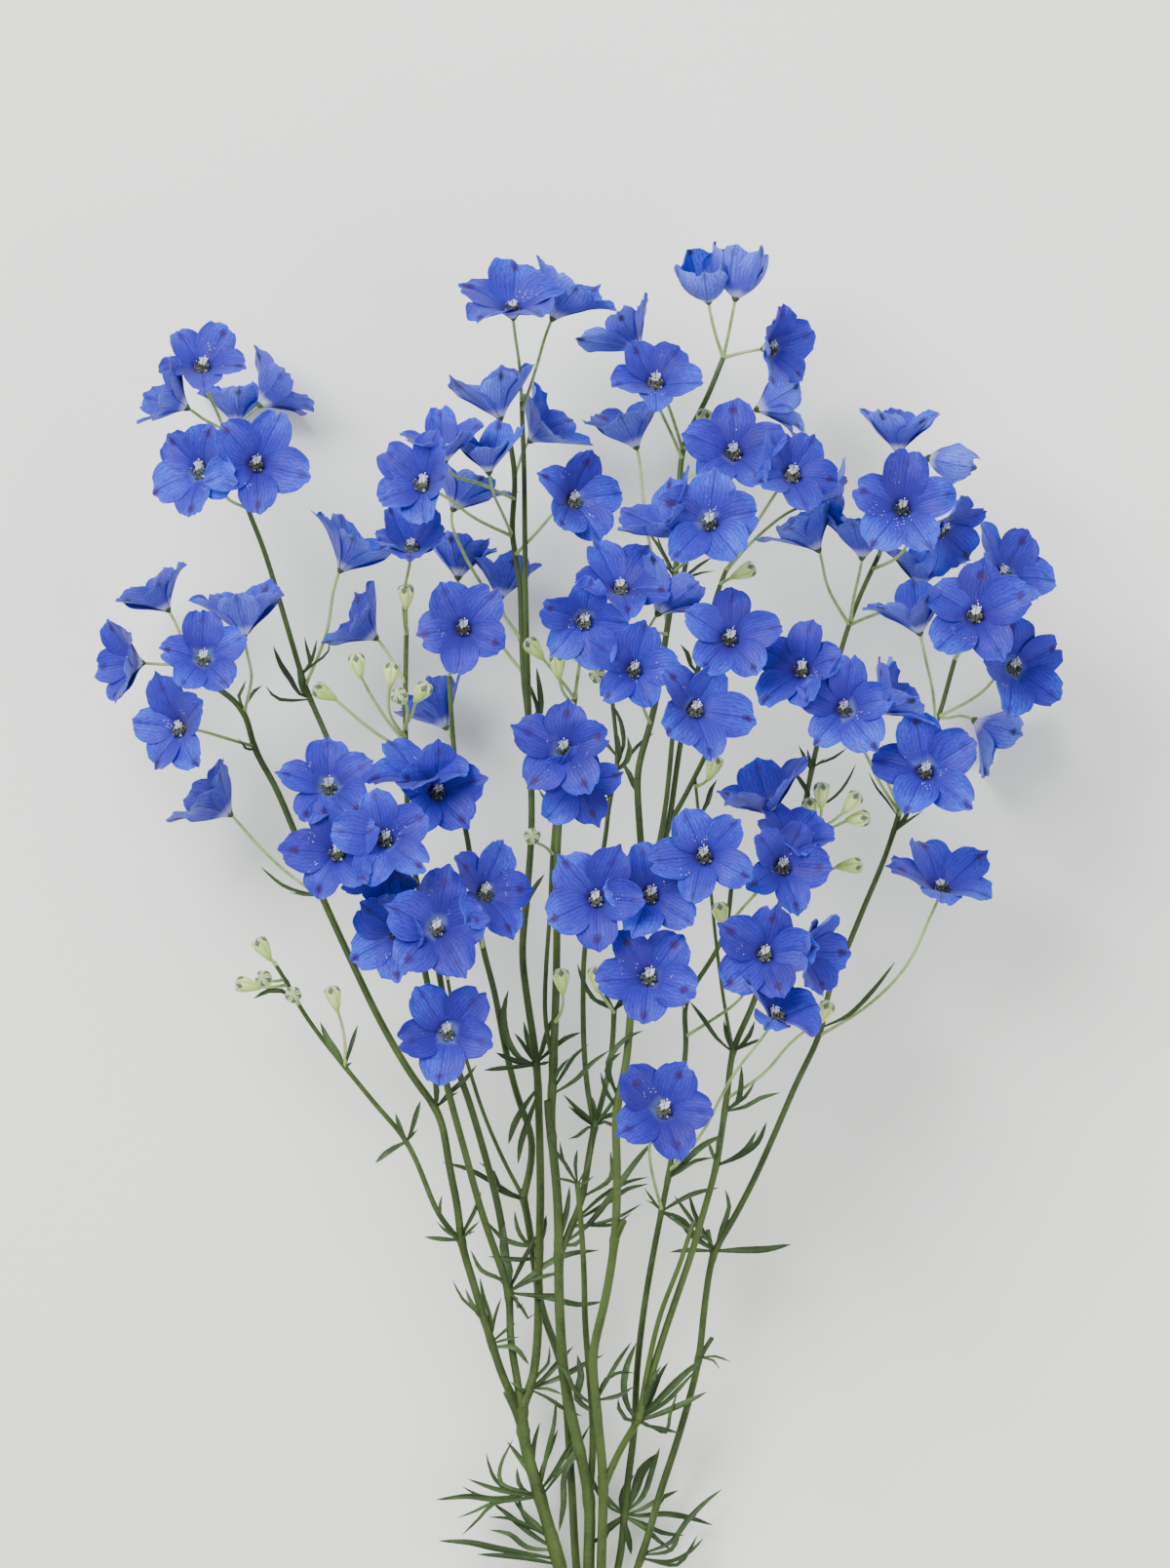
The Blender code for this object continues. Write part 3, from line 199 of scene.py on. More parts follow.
# Stems by the leafy stem that they belong to, and in the order of the fields of Stem
STEM_TABLE = """
left
  left - 9 52 600 2.6 2.2 590,1702 584,1660 571,1608 557,1559 550,1534 539,1496 534,1464 534,1450
  left_stub left 0 30 60 1.7 1.7 536,1475 526,1446 519,1434
  left_outer left 0 55 350 1.6 1.1 534,1456 519,1430 500,1373 483,1316 472,1278 469,1245 460,1200 449,1142
    426,1112 391,1053 361,991 329,921 305,865 279,803 258,767 249,728 226,708 204,694 186,664
  left_bud left_outer 0 42 120 1.1 0.8 472,1278 448,1250 434,1214 415,1172 388,1141 352,1097 326,1065 302,1030
    288,1002 278,988
  left_tall left 0 64 400 1.5 0.9 534,1452 529,1418 522,1376 522,1335 511,1299 493,1246 476,1183 459,1120
    446,1060 436,1000 424,955 400,905 374,850 350,796 332,750 314,710 296,651 267,556 252,520 240,480 232,450
    228,434
  left_inner left_tall 0 60 300 1.5 0.9 522,1335 518,1290 510,1240 500,1200 479,1127 466,1090 458,1050
    450,1000 438,945 425,900 418,850 416,800 415,754 415,698 416,645
  left_straight left 0 56 400 1.7 1 534,1454 546,1422 551,1376 552,1306 554,1236 553,1165 550,1092 540,1023
    535,979 540,920 545,850 544,790 542,737 537,699 535,655 532,584 524,548 527,510 528,484 522,448
  left_crest left_straight 0 66 80 1.1 0.9 543,750 541,690 539,620 538,540 537,466 535,421 535,405
slender
  slender - 4.6 38 600 1.6 1.4 598,1702 594,1650 590,1608 587,1550 584,1500 581,1450 574,1400 563,1372
    553,1340 546,1290 540,1250 536,1232
  slender_upper slender 0 62 300 1.4 0.9 536,1232 544,1200 545,1165 534,1140 517,1074 506,1015 494,970 485,900
    477,850 470,817 463,745 460,692
  slender_side slender 0 72 220 0.8 0.7 536,1232 526,1214 514,1190 494,1141 480,1095 466,1045 458,1000
middle
  middle - 10.6 64 600 2.3 1.1 604,1702 604,1650 604,1608 605,1552 599,1517 590,1475 580,1429 575,1376
    573,1323 573,1285 572,1236 569,1200 565,1160 567,1100 570,1023 571,964 571,891 573,846 580,780 590,712
  middle_stub middle 0 66 40 1.6 1.6 566,1168 562,1146 562,1130
  middle_twin middle 0 58 100 0.9 0.8 568,1090 559,1050 560,990 564,935 566,876 570,830
  middle_thin middle 0 70 400 1.4 1 605,1548 608,1500 608,1464 604,1411 600,1358 599,1306 596,1257 592,1214
  middle_fork middle 0 60 200 1.3 1.3 573,1292 582,1270 598,1230 603,1193 610,1157
  middle_fork_right middle_fork 0 64 100 1.1 1 610,1157 622,1113 628,1078 630,1036
  middle_fork_left middle_fork 0 58 100 1.1 0.8 610,1157 603,1123 599,1078 598,1023 599,979 604,945 613,900
    621,862 626,815 634,788 631,745 627,708
pale
  pale - 13.4 76 600 1.9 1 616,1702 617,1650 617,1608 619,1530 615,1480 611,1440 608,1394 620,1341 629,1288
    632,1253 633,1200 632,1137 642,1095 646,1050 651,995 658,941 659,890 656,846 654,787 663,758 672,723
    682,660 691,600 697,550 697,495 702,452 723,413 742,366
  pale_stub pale 0 70 40 1.3 1.3 632,1275 640,1253
  pale_right pale 0 60 220 1.4 1.3 618,1534 634,1499 648,1474 657,1460
  pale_right_short pale_right 0 54 200 1.1 0.9 657,1462 665,1408 678,1351 697,1302 712,1256
  pale_right_long pale_right 0 60 300 1.4 0.9 657,1462 671,1408 689,1351 709,1292 725,1236 735,1200 742,1155
    748,1113 752,1078 774,1030 800,930 818,870 834,787 850,720 865,662 882,613 904,566
  pale_fine pale_right_long 0 68 80 0.7 0.6 752,1078 741,1015 733,950 728,900 718,845 713,795
  pale_left_top pale 0 72 100 1.1 0.9 656,960 668,900 680,846 686,800 691,742
  pale_right_top pale 0 68 100 1.2 0.9 654,975 672,905 686,846 700,752 722,664 735,610 746,582
  pale_middle_top pale_right_top 0 70 80 1 0.9 686,846 704,815 716,790 729,765 742,702
inner_right
  inner_right - 5.6 52 600 1.5 0.9 612,1702 625,1655 637,1608 641,1562 646,1517 651,1478 654,1411 662,1341
    671,1288 679,1246 688,1200 693,1165 700,1115 705,1065 702,1032 731,985 745,958 751,911
right
  right - 9.2 50 600 1.5 0.9 621,1702 640,1655 660,1605 678,1541 694,1492 708,1443 718,1401 723,1351 728,1313
    733,1288 750,1260 774,1214 799,1158 820,1109 843,1062 853,1011 866,985 889,929 909,882 923,840 935,800
    952,765 966,734 974,704 983,672
  right_stub right 0 30 40 0.9 0.9 718,1401 724,1388 732,1378
  right_stub_upper right 0 42 40 0.9 0.9 732,1292 729,1278 727,1265
"""

# Blooms by the group whose solid they share, in the order of the fields of Bloom
BLOOM_TABLE = """
top_left_front
  top_left_a 209,378,104 0,0.65,0.75 17 84 54 left_tall 232,450 221,418
  top_left_b 186,416,107 -0.85,0.45,0.15 17 66 20 left_tall 229,440 206,428
top_left_back
  top_left_c 268,405,20 0.7,0.65,-0.2 18 62 70 left_tall 230,442 246,425
  top_left_d 238,421,12 -0.1,1,0.05 16 60 0 left_tall 236,465
top_left_low
  top_left_e 208,484,112 -0.55,0.15,0.85 18 86 130 left_tall 252,520 230,510
  top_left_f 265,478,118 0.05,0.12,1 19 92 -84 left_tall 250,512
far_left_top
  far_left_a 164,617,46 -0.6,0.85,0.1 17 64 30 left_outer 188,667 180,642
far_left_side
  far_left_b 136,679,62 -0.88,0.05,0.42 18 72 110 left_outer 196,680 178,682
far_left_pair
  far_left_c 210,676,112 0.05,0.25,1 16 92 22 left_outer 206,696
  far_left_d 251,644,106 -0.1,0.98,0.12 20 64 52 left_outer 249,728 259,688
far_left_low
  far_left_e 184,747,80 -0.6,0,0.8 18 84 100 left_outer 257,765 230,757
left_low
  left_low 227,830,50 -0.75,0.6,0.1 19 58 10 left_outer 329,921 305,906 273,879 249,853
left_high
  left_high 378,648,62 -0.75,0.65,0.1 18 62 40 left_inner 415,700 402,678
left_front
  left_front_a 339,808,118 0,0.45,0.9 17 90 95 left_tall 356,812
  left_front_b 349,874,128 -0.3,0.2,0.95 18 92 103 left_inner 434,930 399,925 368,896
  left_front_c 397,860,131 0.05,0.15,1 18 94 100 left_inner 426,905 404,892
  left_front_d 392,886,114 -0.1,-0.55,0.8 16 82 270 left_inner 430,918 405,908
left_front_back
  left_front_e 432,798,92 -0.1,0.8,0.55 18 84 54 left_inner 418,855 424,828
  left_front_f 448,812,92 0.3,0.1,0.95 17 86 18 left_inner 420,865 434,845
crest_left
  crest_left_a 511,420,78 -0.25,0.95,0.1 19 56 10 left_straight 522,450
crest_right
  crest_left_b 549,443,38 0.7,0.65,0.2 18 68 30 left_straight 528,484 534,464
inner_left_top
  inner_left_a 435,498,112 -0.45,0.3,0.85 18 80 140 left_straight 524,548 484,530 455,508
  inner_left_b 456,466,104 -0.1,0.85,0.35 17 76 20 left_straight 527,510 480,492
  inner_left_c 501,477,100 -0.1,0.95,0.2 17 52 0 left_straight 524,546 512,519
inner_left_back
  inner_left_d 468,513,52 0.45,0.85,-0.1 18 58 40 left_straight 532,655 499,607 475,569 460,534
inner_left_side
  inner_left_e 588,514,100 0.5,0.15,0.85 18 82 80 left_straight 534,566 553,543
upper_left
  upper_left_a 353,577,74 0.5,0.85,0.1 20 66 20 left_tall 312,703 321,683 338,639
upper_left_half_open
  upper_left_b 422,562,88 0.05,0.75,0.65 17 62 54 left_inner 416,650 412,610
upper_inner
  upper_inner_a 469,582,36 0.05,1,-0.1 17 48 30 left_straight 537,690 505,650 478,618
  upper_inner_b 514,602,33 0.15,0.95,0 17 52 60 left_straight 536,660 522,636
inner_front
  inner_front 476,645,120 0,0.15,1 18 94 -25 slender_upper 460,692
inner_back
  inner_back 452,738,34 -0.45,0.85,0 19 50 20 slender_upper 465,770
middle_front
  middle_front_a 579,769,126 -0.05,0.15,1 17 94 88 middle 577,800
  middle_front_b 590,800,120 0.2,-0.35,0.9 16 88 10 middle 574,838
centre_top
  centre_a 599,637,120 -0.05,-0.3,0.95 18 80 80 middle 589,716
  centre_b 636,605,119 0.15,0.6,0.7 19 88 54 pale 672,723 650,690 645,640
  centre_c 679,624,117 0.55,0.75,-0.2 18 66 40 pale 684,650
centre_low
  centre_d 650,688,122 0,0.15,1 16 92 80 pale 667,742 657,720
centre_right
  centre_e 747,656,122 0.1,0.25,1 18 94 85 pale_middle_top 742,704
  centre_f 711,728,127 0.5,0.1,0.85 19.5 86 63 pale_left_top 691,742
low_right_top
  right_middle_a 789,828,88 -0.35,0.9,0.3 20 66 36 pale_right_long 806,908 797,866
  low_right_a 801,888,106 0.35,0.1,0.93 17 88 65 inner_right 751,911 776,896
  low_right_b 812,862,94 0.2,0.75,0.6 16 78 54 inner_right 747,952 762,932 800,890
right_middle_front
  right_middle_b 721,877,124 0,0.15,1 18 90 40 inner_right 751,911 738,904
right_front
  right_front_a 864,728,118 0,0.2,1 18 94 87 right 924,834 903,802 885,768
  right_front_b 822,688,112 -0.4,0.3,0.85 18 90 80 pale_right_long 846,735
  right_front_c 904,726,117 0.75,0.6,0.1 19 66 20 right 925,831 908,795 893,755
  right_large 947,791,112 0,0.15,1 20 94 29 right 924,836
far_right_front
  far_right_a 998,632,112 0,0.3,0.95 20 92 85 right 983,674
  far_right_b 940,642,106 -0.25,0.95,0.15 20 60 20 right 963,742 957,705 948,676
far_right_back
  far_right_c 946,592,56 0.15,0.95,0.1 17 66 0 pale_right_long 872,640 898,628 926,622
far_right_top
  far_right_d 1029,590,84 0.55,0.5,0.65 19 80 60 right 984,676 1008,632
far_right_side
  far_right_e 1039,684,84 0.55,0.05,0.83 19 84 100 right 966,734 994,720 1018,702
far_right_low
  far_right_f 1012,742,15.2 0.75,-0.45,0 19 72 60 right 966,736 985,734
top_right_front
  top_right_a 923,523,118 0,0.2,1 19 94 86 pale_right_long 904,568
  top_right_b 963,543,109 0.7,-0.45,0.5 18 84 30 pale_right_long 897,583 925,570
top_right_crest
  top_right_c 922,454,72 0,1,0.1 18 58 18 pale_right_long 904,568 915,510
top_right_bud
  top_right_d 962,470,66 0.97,-0.2,0.1 17 -42 30 pale_right_long 902,572 932,505 944,472
top_middle_low
  top_right_e 885,563,74 0.05,1,0.1 17 60 30 pale_right_long 873,636 875,612
  top_right_f 836,556,68 -0.5,0.85,0.1 18 64 60 pale_right_long 872,640 855,613 843,590
  top_right_g 837,517,61 0.85,0,0.1 18 60 20 pale_right_top 745,586 769,556 800,530
top_middle
  top_middle_a 811,488,102 0.35,0.3,0.88 17 88 60 pale_right_top 746,584 777,535
  top_middle_b 752,466,102 0,0.4,0.9 18 90 90 pale 702,452 724,447
top_middle_front
  top_middle_c 726,538,134 0,0.15,1 19 94 86 pale 697,560
  top_middle_d 692,547,126 -0.6,0.75,0.3 20 64 20 pale 693,585
top_middle_left
  top_middle_e 650,449,60 -0.35,0.95,0.1 19 60 0 pale 685,640 664,545 658,490
top_middle_single
  top_middle_f 672,394,100 0.1,0.55,0.83 17 84 54 pale 698,470 683,432
top_middle_back
  top_middle_g 650,352,84 -0.65,0.75,-0.1 18 64 30 pale 700,462 684,410
crest_pair
  crest_a 526,319,92 -0.05,0.85,0.5 21 88 90 left_crest 535,410 532,365
  crest_b 571,319,80 0.5,0.85,0 20 62 30 left_crest 535,420 543,398 557,352
tip_pair
  tip_a 726,302,84 -0.1,0.85,0.5 18 -4 54 pale 742,366 732,340
  tip_b 756,298,84 0.2,0.98,0 19 -8 18 pale 742,366 748,340
tip_side
  tip_c 790,357,82 0.8,0.05,0.6 17 70 90 pale 742,366 760,360
tip_low
  tip_d 785,415,56 0.85,0.3,-0.2 17 56 40 pale 716,428 745,424
low_left_front
  low_left_a 449,951,124 0,0.15,1 20 94 82 slender_side 459,1004
  low_left_b 410,957,114 -0.6,0,0.8 18 84 140 left_inner 449,995 425,975
  low_left_c 497,915,117 0.55,0.15,0.8 18 86 75 slender_upper 495,972 492,935
low_left_single
  low_left_d 459,1057,114 0,0.12,1 19 94 50 left_inner 468,1095
low_middle_front
  low_middle_a 611,921,122 -0.05,0.1,1 19 92 62 middle_fork_left 603,952
  low_middle_b 666,917,118 0.15,0.15,1 18 88 105 pale 658,945
low_middle_right
  low_middle_c 665,1001,118 0,0.25,1 18 92 50 inner_right 702,1034 688,1018
low_middle_single
  low_middle_d 680,1136,112 0.05,0.15,1 19 94 -5 inner_right 679,1244 668,1200 668,1160
low_right_front
  low_right_c 783,977,120 0.05,0.1,1 19 92 74 inner_right 705,1064 731,1047 763,1020
  low_right_d 824,975,114 0.8,-0.1,0.5 17 74 70 pale_right_long 786,985
  low_right_e 794,1041,122 0.4,0.75,0.5 18 76 88 inner_right 688,1204 718,1168 744,1115 764,1083
right_low
  right_low 966,912,70 0.15,0.8,0.55 21 84 40 right 843,1064 873,1047 903,1024 933,991 949,958 954,938
"""

# Buds by the stem that they grow on, in the order of the fields of Bud
BUD_TABLE = """
left_inner
  333,711,74 -0.85,0.45,0.2 415,770 384,752 352,724
  367,683,78 -0.2,0.9,0.3 415,762 393,735 376,706
  401,692,82 0.1,0.95,0.2 415,756 396,730
  416,612,72 0,0.9,0.4 416,647
  412,716,96 -0.3,0.3,0.9 415,748
  432,711,90 0.5,0.7,0.5 415,744 424,728
middle
  549,666,88 -0.6,0.75,0.2 589,716 570,690
  593,672,94 -0.1,0.2,0.95 590,712
  572,684,84 -0.1,0.95,0.2 588,722 576,710
middle_fork_left
  614,694,92 -0.2,0.2,0.95 627,712
  611,663,84 0.3,0.9,0.2 627,710 622,688
middle_twin
  546,859,92 0,0.2,0.95 566,876 560,868
middle
  576,1007,82 -0.1,0.95,0.2 569,1050 580,1032
middle_fork_right
  612,1005,82 -0.1,0.95,0.2 630,1040 620,1024
inner_right
  740,939,72 -0.2,0.95,0.2 744,960
pale_right_long
  843,816,74 0,0.95,0.2 822,857 840,850 846,836
  832,832,66 -0.1,0.95,0.2 821,860 834,852
  873,824,76 0.6,0.75,0.2 821,858 842,851 862,838
  880,840,70 0.9,0.1,0.4 820,862 845,854 866,844
  871,888,76 1,0.1,0.1 808,905 842,896
  846,1040,66 0.4,0.8,0.3 746,1128 790,1100 812,1066 834,1054
pale
  721,433,84 0.2,0.9,0.3 701,460 712,452
  727,474,82 0.7,0.6,0.2 697,497 711,483
pale_right_top
  762,587,82 0.9,0.4,0.1 740,598
pale_fine
  731,788,80 0.3,0.9,0.2 714,806
left_bud
  268,975,44 -0.5,0.85,0.2 280,992
  271,1006,56 -0.3,0.2,0.9 290,1006
  252,1012,46 -0.95,0.2,0.2 292,1012 276,1016
  299,1022,54 0,0.1,1 303,1032
  341,1026,50 -0.25,0.95,0.2 352,1097 352,1056
"""

# Leaf lobes by the stem that they grow on, in the order of the fields of Lobe
LOBE_TABLE = """
left
  2.5 547,1547 513,1548 480,1544 445,1548
  1.6 530,1547 505,1546 489,1543 472,1534
  2 547,1547 513,1538 497,1533 478,1526
  1.8 547,1547 513,1533 503,1520 497,1500
  1.6 545,1545 513,1530 512,1513 525,1485
  1.4 547,1547 502,1552 487,1559 467,1567
  1.4 547,1547 504,1553 490,1567 472,1585
  2 548,1550 535,1537 531,1530 529,1515
  2.3 547,1540 543,1520 532,1503 519,1487
  2 548,1545 546,1515 547,1489 553,1468
  1.8 549,1545 553,1524 563,1497 572,1475
  2.1 549,1543 560,1503 568,1469 570,1443
  2.3 550,1541 568,1519 581,1497 594,1475
  1.7 551,1547 568,1527 588,1500 605,1470
  1.5 550,1547 556,1538 562,1537
  2.8 566,1612 507,1599 480,1593 448,1591
  2.2 566,1618 530,1608 488,1605
  2.2 562,1603 540,1598 521,1584 500,1580
  2.3 563,1602 543,1583 523,1566 503,1551
  1.7 558,1590 536,1573 520,1567 500,1566
  1.9 560,1592 541,1572 533,1556 529,1538
  2 562,1600 550,1574 540,1566 525,1548
left_tall
  2 531,1327 513,1317 493,1307 482,1287
  3 529,1326 522,1308 515,1283 517,1257
  2 531,1327 539,1292 550,1270
  2.5 532,1327 566,1298 587,1290 614,1287
  1.8 532,1327 544,1318 560,1313 578,1309
  2.3 531,1328 563,1336 593,1343 620,1340
  1.5 531,1328 556,1333 578,1332
  1.5 531,1328 529,1337 531,1346 536,1342
  1.4 531,1328 535,1347 541,1357 549,1352
left_straight
  2.1 551,1283 530,1280 513,1273 499,1257
  1.9 551,1283 538,1277 530,1263 527,1246
  1.9 551,1295 530,1296 500,1293
  2 551,1285 557,1268 560,1250
  1.8 549,1330 556,1350 566,1372
  2.2 544,1432 573,1420 597,1407 619,1396
  2.2 544,1432 557,1421 573,1403 588,1387
  1.4 544,1431 553,1415 562,1405 563,1387
  1.7 544,1433 534,1432 523,1424
  1.6 544,1433 560,1440 580,1453 597,1460
  1.3 544,1432 561,1431 577,1437
left_outer
  1.7 512,1378 502,1357 495,1337 491,1316
  2 512,1379 495,1360 483,1343 476,1327
  1.3 496,1361 487,1350 473,1337 463,1318
  1.3 512,1378 507,1355 513,1337
  1.4 512,1380 518,1370 528,1363
  1.2 512,1381 522,1379 532,1377
  2.1 514,1385 527,1388 542,1406
  1.7 470,1276 458,1263 450,1247 452,1229
  1.8 470,1276 450,1274 434,1272
  1.3 470,1276 455,1265 446,1256
  1.7 470,1276 476,1264 485,1247 493,1225
  1.3 470,1276 480,1266 491,1256
  1.2 470,1276 478,1269 487,1266
left_straight
  2 550,1094 539,1095 518,1097 496,1099
  2.2 550,1094 536,1092 521,1087 508,1081
  3 550,1094 533,1087 519,1066 516,1037 521,1017
  1.6 550,1094 545,1087 536,1072 527,1061
  2.2 551,1092 556,1078 561,1060 568,1043
  2 551,1092 565,1078 580,1066 596,1060
  2 550,1093 546,1087 540,1066 537,1049
  1.4 551,1094 558,1092 566,1090
  2.6 549,1118 539,1134 527,1155 521,1176
  2.6 549,1124 542,1149 534,1173 531,1196
left_outer
  2 449,1136 462,1121 477,1108 488,1094
  2.4 449,1136 447,1120 444,1104
  1.6 449,1136 438,1128 427,1119
  1.4 449,1136 460,1126 470,1122
left_bud
  2 415,1174 420,1164 425,1147 430,1131
  1.9 415,1174 409,1160 404,1144
  2.2 415,1174 403,1180 394,1186 383,1196
  1.2 415,1174 421,1167 427,1161
  2.5 352,1096 344,1082 334,1068 326,1050
  1.7 352,1096 357,1078 365,1053
  1.2 352,1096 359,1092
  2 300,1026 286,1018 273,1018 257,1026
  1.3 300,1026 292,1008 283,996
left_outer
  1.5 326,920 306,915 288,908 266,890
  1.2 326,920 309,918 296,916
left_straight
  2 541,930 547,913 558,897
  2.3 543,750 554,730 554,712 550,684
  1.5 542,742 551,729 547,713 541,697
left_tall
  2.3 314,717 306,711 297,696 287,681 279,662
  1.3 314,718 298,718 286,717 278,712 271,703
  1.6 314,688 317,680 314,665 311,653
  1.3 314,690 319,676 322,665 324,655
  1 314,690 320,681 330,674 336,667 338,655
  2.2 314,716 309,708 307,692 304,677
left_outer
  1.4 248,727 243,713 247,705 250,697
  1.4 248,726 253,717 259,708 267,702
  1.2 258,769 250,767 243,757
slender
  2 536,1236 507,1218 480,1203 453,1196
  1.6 530,1232 512,1222 505,1206 490,1196
  1.3 536,1236 515,1227 503,1221
middle
  2.3 575,1281 577,1262 582,1240 584,1219
  2.6 576,1500 579,1520 578,1550 573,1580
middle_thin
  1.4 593,1216 580,1195 570,1182 563,1165
  1.3 593,1216 582,1200 577,1190 574,1172
  1.2 593,1216 584,1212 568,1209
  1.3 593,1216 600,1203 604,1188 607,1170
  1.2 593,1216 601,1214 609,1207
  1.5 593,1214 590,1196 592,1180
middle_fork
  2.7 579,1278 603,1259 627,1229 653,1193 673,1169
  2 600,1262 627,1233 643,1222 665,1217
  1.7 598,1262 618,1229 643,1215 665,1210
  1.6 596,1266 620,1256 640,1248 658,1237
  1.4 600,1264 630,1258 647,1247
  2.1 620,1236 627,1210 626,1183
  1.9 579,1280 590,1279 600,1270
  2 610,1154 592,1143 583,1136
  2 610,1154 603,1148 592,1139 578,1124
  2.2 610,1154 618,1148 630,1144 649,1144
  1.6 610,1155 620,1152 627,1155 641,1152
  1.6 610,1153 617,1134 620,1120
  2 610,1153 609,1137 606,1125
  1.6 609,1156 603,1158 592,1167 583,1170
  1.6 610,1153 618,1146 627,1134 634,1121
middle
  1.8 570,1124 592,1107 606,1092 625,1078
  1.7 569,1120 580,1098 589,1084 603,1072
  1.5 567,1118 572,1100 584,1086
middle_fork_right
  1.8 630,1037 609,1025 598,1007 592,989
  1.4 630,1037 618,1029 604,1024
  2 630,1037 636,1028 646,1018
  1.4 630,1037 640,1029 652,1022
  1.4 630,1036 622,1022 620,1008
middle_fork_left
  1.9 633,776 626,767 615,755 602,743
  1.9 634,782 640,764 637,740 629,723
  2.2 634,784 636,776 634,764 632,749
  2.4 634,790 643,780 646,767 644,755
  1.4 634,788 645,776 654,765 671,751
  2.2 634,788 641,786 650,804 658,818
  2 627,818 623,812 625,798 626,783
  0.9 627,820 619,808 613,792 609,777
  1 626,817 617,820 604,827 593,830
middle_twin
  1.1 570,832 565,827 557,817 551,807
pale
  3 602,1458 592,1440 596,1417 592,1395
  1.8 612,1444 618,1430 633,1403 648,1382
  1.7 612,1442 620,1440 634,1437 651,1427
  1.6 611,1444 622,1420 640,1412 651,1414
  1.8 607,1450 590,1432 580,1412 568,1402
pale_right
  2.8 655,1464 645,1450 640,1430 643,1407 653,1383
  1.9 655,1464 642,1461 635,1450 634,1440
  2.2 656,1464 667,1443 677,1417 686,1403
  1.8 656,1464 664,1440 670,1420 679,1406
  3.2 656,1464 680,1437 700,1417 723,1398
  2 657,1464 684,1443 700,1427 714,1412
  2.6 656,1465 680,1455 707,1443 726,1433
  1.7 656,1465 664,1468 680,1471 698,1476
  1.5 664,1467 684,1475 688,1457 696,1432
pale
  2.2 632,1128 624,1090 641,1066 660,1057
  2 632,1124 622,1098 626,1088 637,1080
  1.7 632,1136 621,1118 616,1100
pale_right_long
  1.8 752,1080 736,1066 722,1046 708,1028
  1.6 752,1080 746,1064 743,1047
  1.8 752,1080 759,1075 769,1063 775,1048
  1.4 752,1080 768,1072 784,1066
  1.8 746,1142 766,1136 780,1128 801,1122
  2.4 747,1140 757,1132 761,1114 761,1094
  1.4 747,1140 765,1126 775,1110
  2.4 738,1198 760,1187 778,1173 787,1152
  2 738,1197 752,1190 766,1180 777,1161
  2 738,1195 738,1172 742,1152
  1.5 738,1196 731,1184 727,1172
pale
  2.2 694,592 702,586 704,573 707,561
  1.3 694,594 704,590 718,579 731,571
  1 694,596 705,592 720,587 733,585
  1.3 692,594 682,571 673,556 664,544
  1.1 693,588 685,574 678,561 674,548
  0.9 690,592 681,578 669,571 657,563
pale_right_top
  2 716,690 709,682 705,669 698,660
pale_fine
  2 720,838 726,823 730,809 736,799
pale_right_long
  1.4 833,790 829,783 825,774 820,764
  1.4 834,788 832,783 829,768
  1 835,788 841,783 856,777 870,767
  1 835,788 842,782 847,778
  1.9 827,828 830,815 823,802 814,789
  1.1 827,834 852,821 864,810 873,796 879,783
inner_right
  2 680,1246 693,1237 713,1227 738,1221
  1.1 680,1246 672,1238 663,1234
  1.1 680,1246 668,1231 661,1221
  2.2 680,1246 690,1249 702,1256 713,1267
  1.5 688,1248 704,1262 718,1270 728,1277
  2.4 641,1563 660,1545 670,1517 678,1495
  4 641,1562 651,1543 659,1520 675,1501
  2.2 641,1563 637,1555 640,1540 651,1523
  2 641,1564 660,1558 677,1548 697,1539
  2.6 641,1564 657,1565 682,1563 707,1567 733,1576
  2 641,1566 660,1573 680,1583 703,1587
  2 641,1566 664,1580 676,1591 691,1602
  2 641,1563 628,1552 618,1540 613,1524
  1.8 641,1564 627,1557 612,1537 602,1510
  3.2 641,1566 624,1577 618,1590 613,1606
  1.8 641,1568 622,1583 602,1599
  2.4 641,1568 645,1585 648,1606
  2.6 687,1212 704,1193 722,1177 744,1166
  1.6 687,1212 699,1203 714,1193 733,1190
  1.4 688,1210 697,1190 703,1174
right
  2.8 732,1286 760,1286 787,1285 813,1280
  1.8 732,1286 707,1286 688,1288
  2.4 731,1285 713,1272 699,1260
  1.8 731,1284 722,1266 713,1247 707,1226
  1.6 730,1282 716,1262 705,1247 692,1229
  2 733,1284 742,1262 749,1241 745,1223
  1.2 734,1284 742,1265 751,1252
  2.2 664,1606 690,1592 705,1572 723,1553 742,1538
  1.8 664,1608 690,1600 700,1578 716,1564
  1.8 664,1612 690,1612 712,1600 723,1589
  1.6 664,1612 696,1616 708,1602 717,1586
  2.2 663,1604 668,1580 672,1560 684,1545
  1.9 846,1056 872,1042 897,1017 920,988
right_stub
  1 720,1399 733,1401 740,1410
right
  1.9 919,852 930,840 934,832 938,827
  1.1 918,855 928,846 939,838 949,832
  1 923,838 910,819 901,808 893,792
right_stub
  1 720,1399 735,1397 751,1403
"""


def value(word: str) -> str | float | tuple[float, ...] | None:
    """Read a word of a table.

    Args:
        word: A name, a number, numbers with commas between them, or a dash.

    Returns:
        The name, the number, the numbers, or None for the dash.
    """
    if "," in word:
        return tuple(float(part) for part in word.split(","))
    if word == "-":
        return None
    return float(word) if word[0] in "-0123456789" else word


def read(table: str) -> list[tuple[str, list[list]]]:
    """Read a table of groups.

    Args:
        table: Lines that start at the edge name a group, and the indented ones below are its rows.
            Rows go on in lines that are indented further.

    Returns:
        The groups in order, each with its name and its rows of values.
    """
    groups = []
    for line in table.strip().replace("\n    ", " ").split("\n"):
        if line.startswith(" "):
            groups[-1][1].append([value(word) for word in line.split()])
        else:
            groups.append((line, []))
    return groups


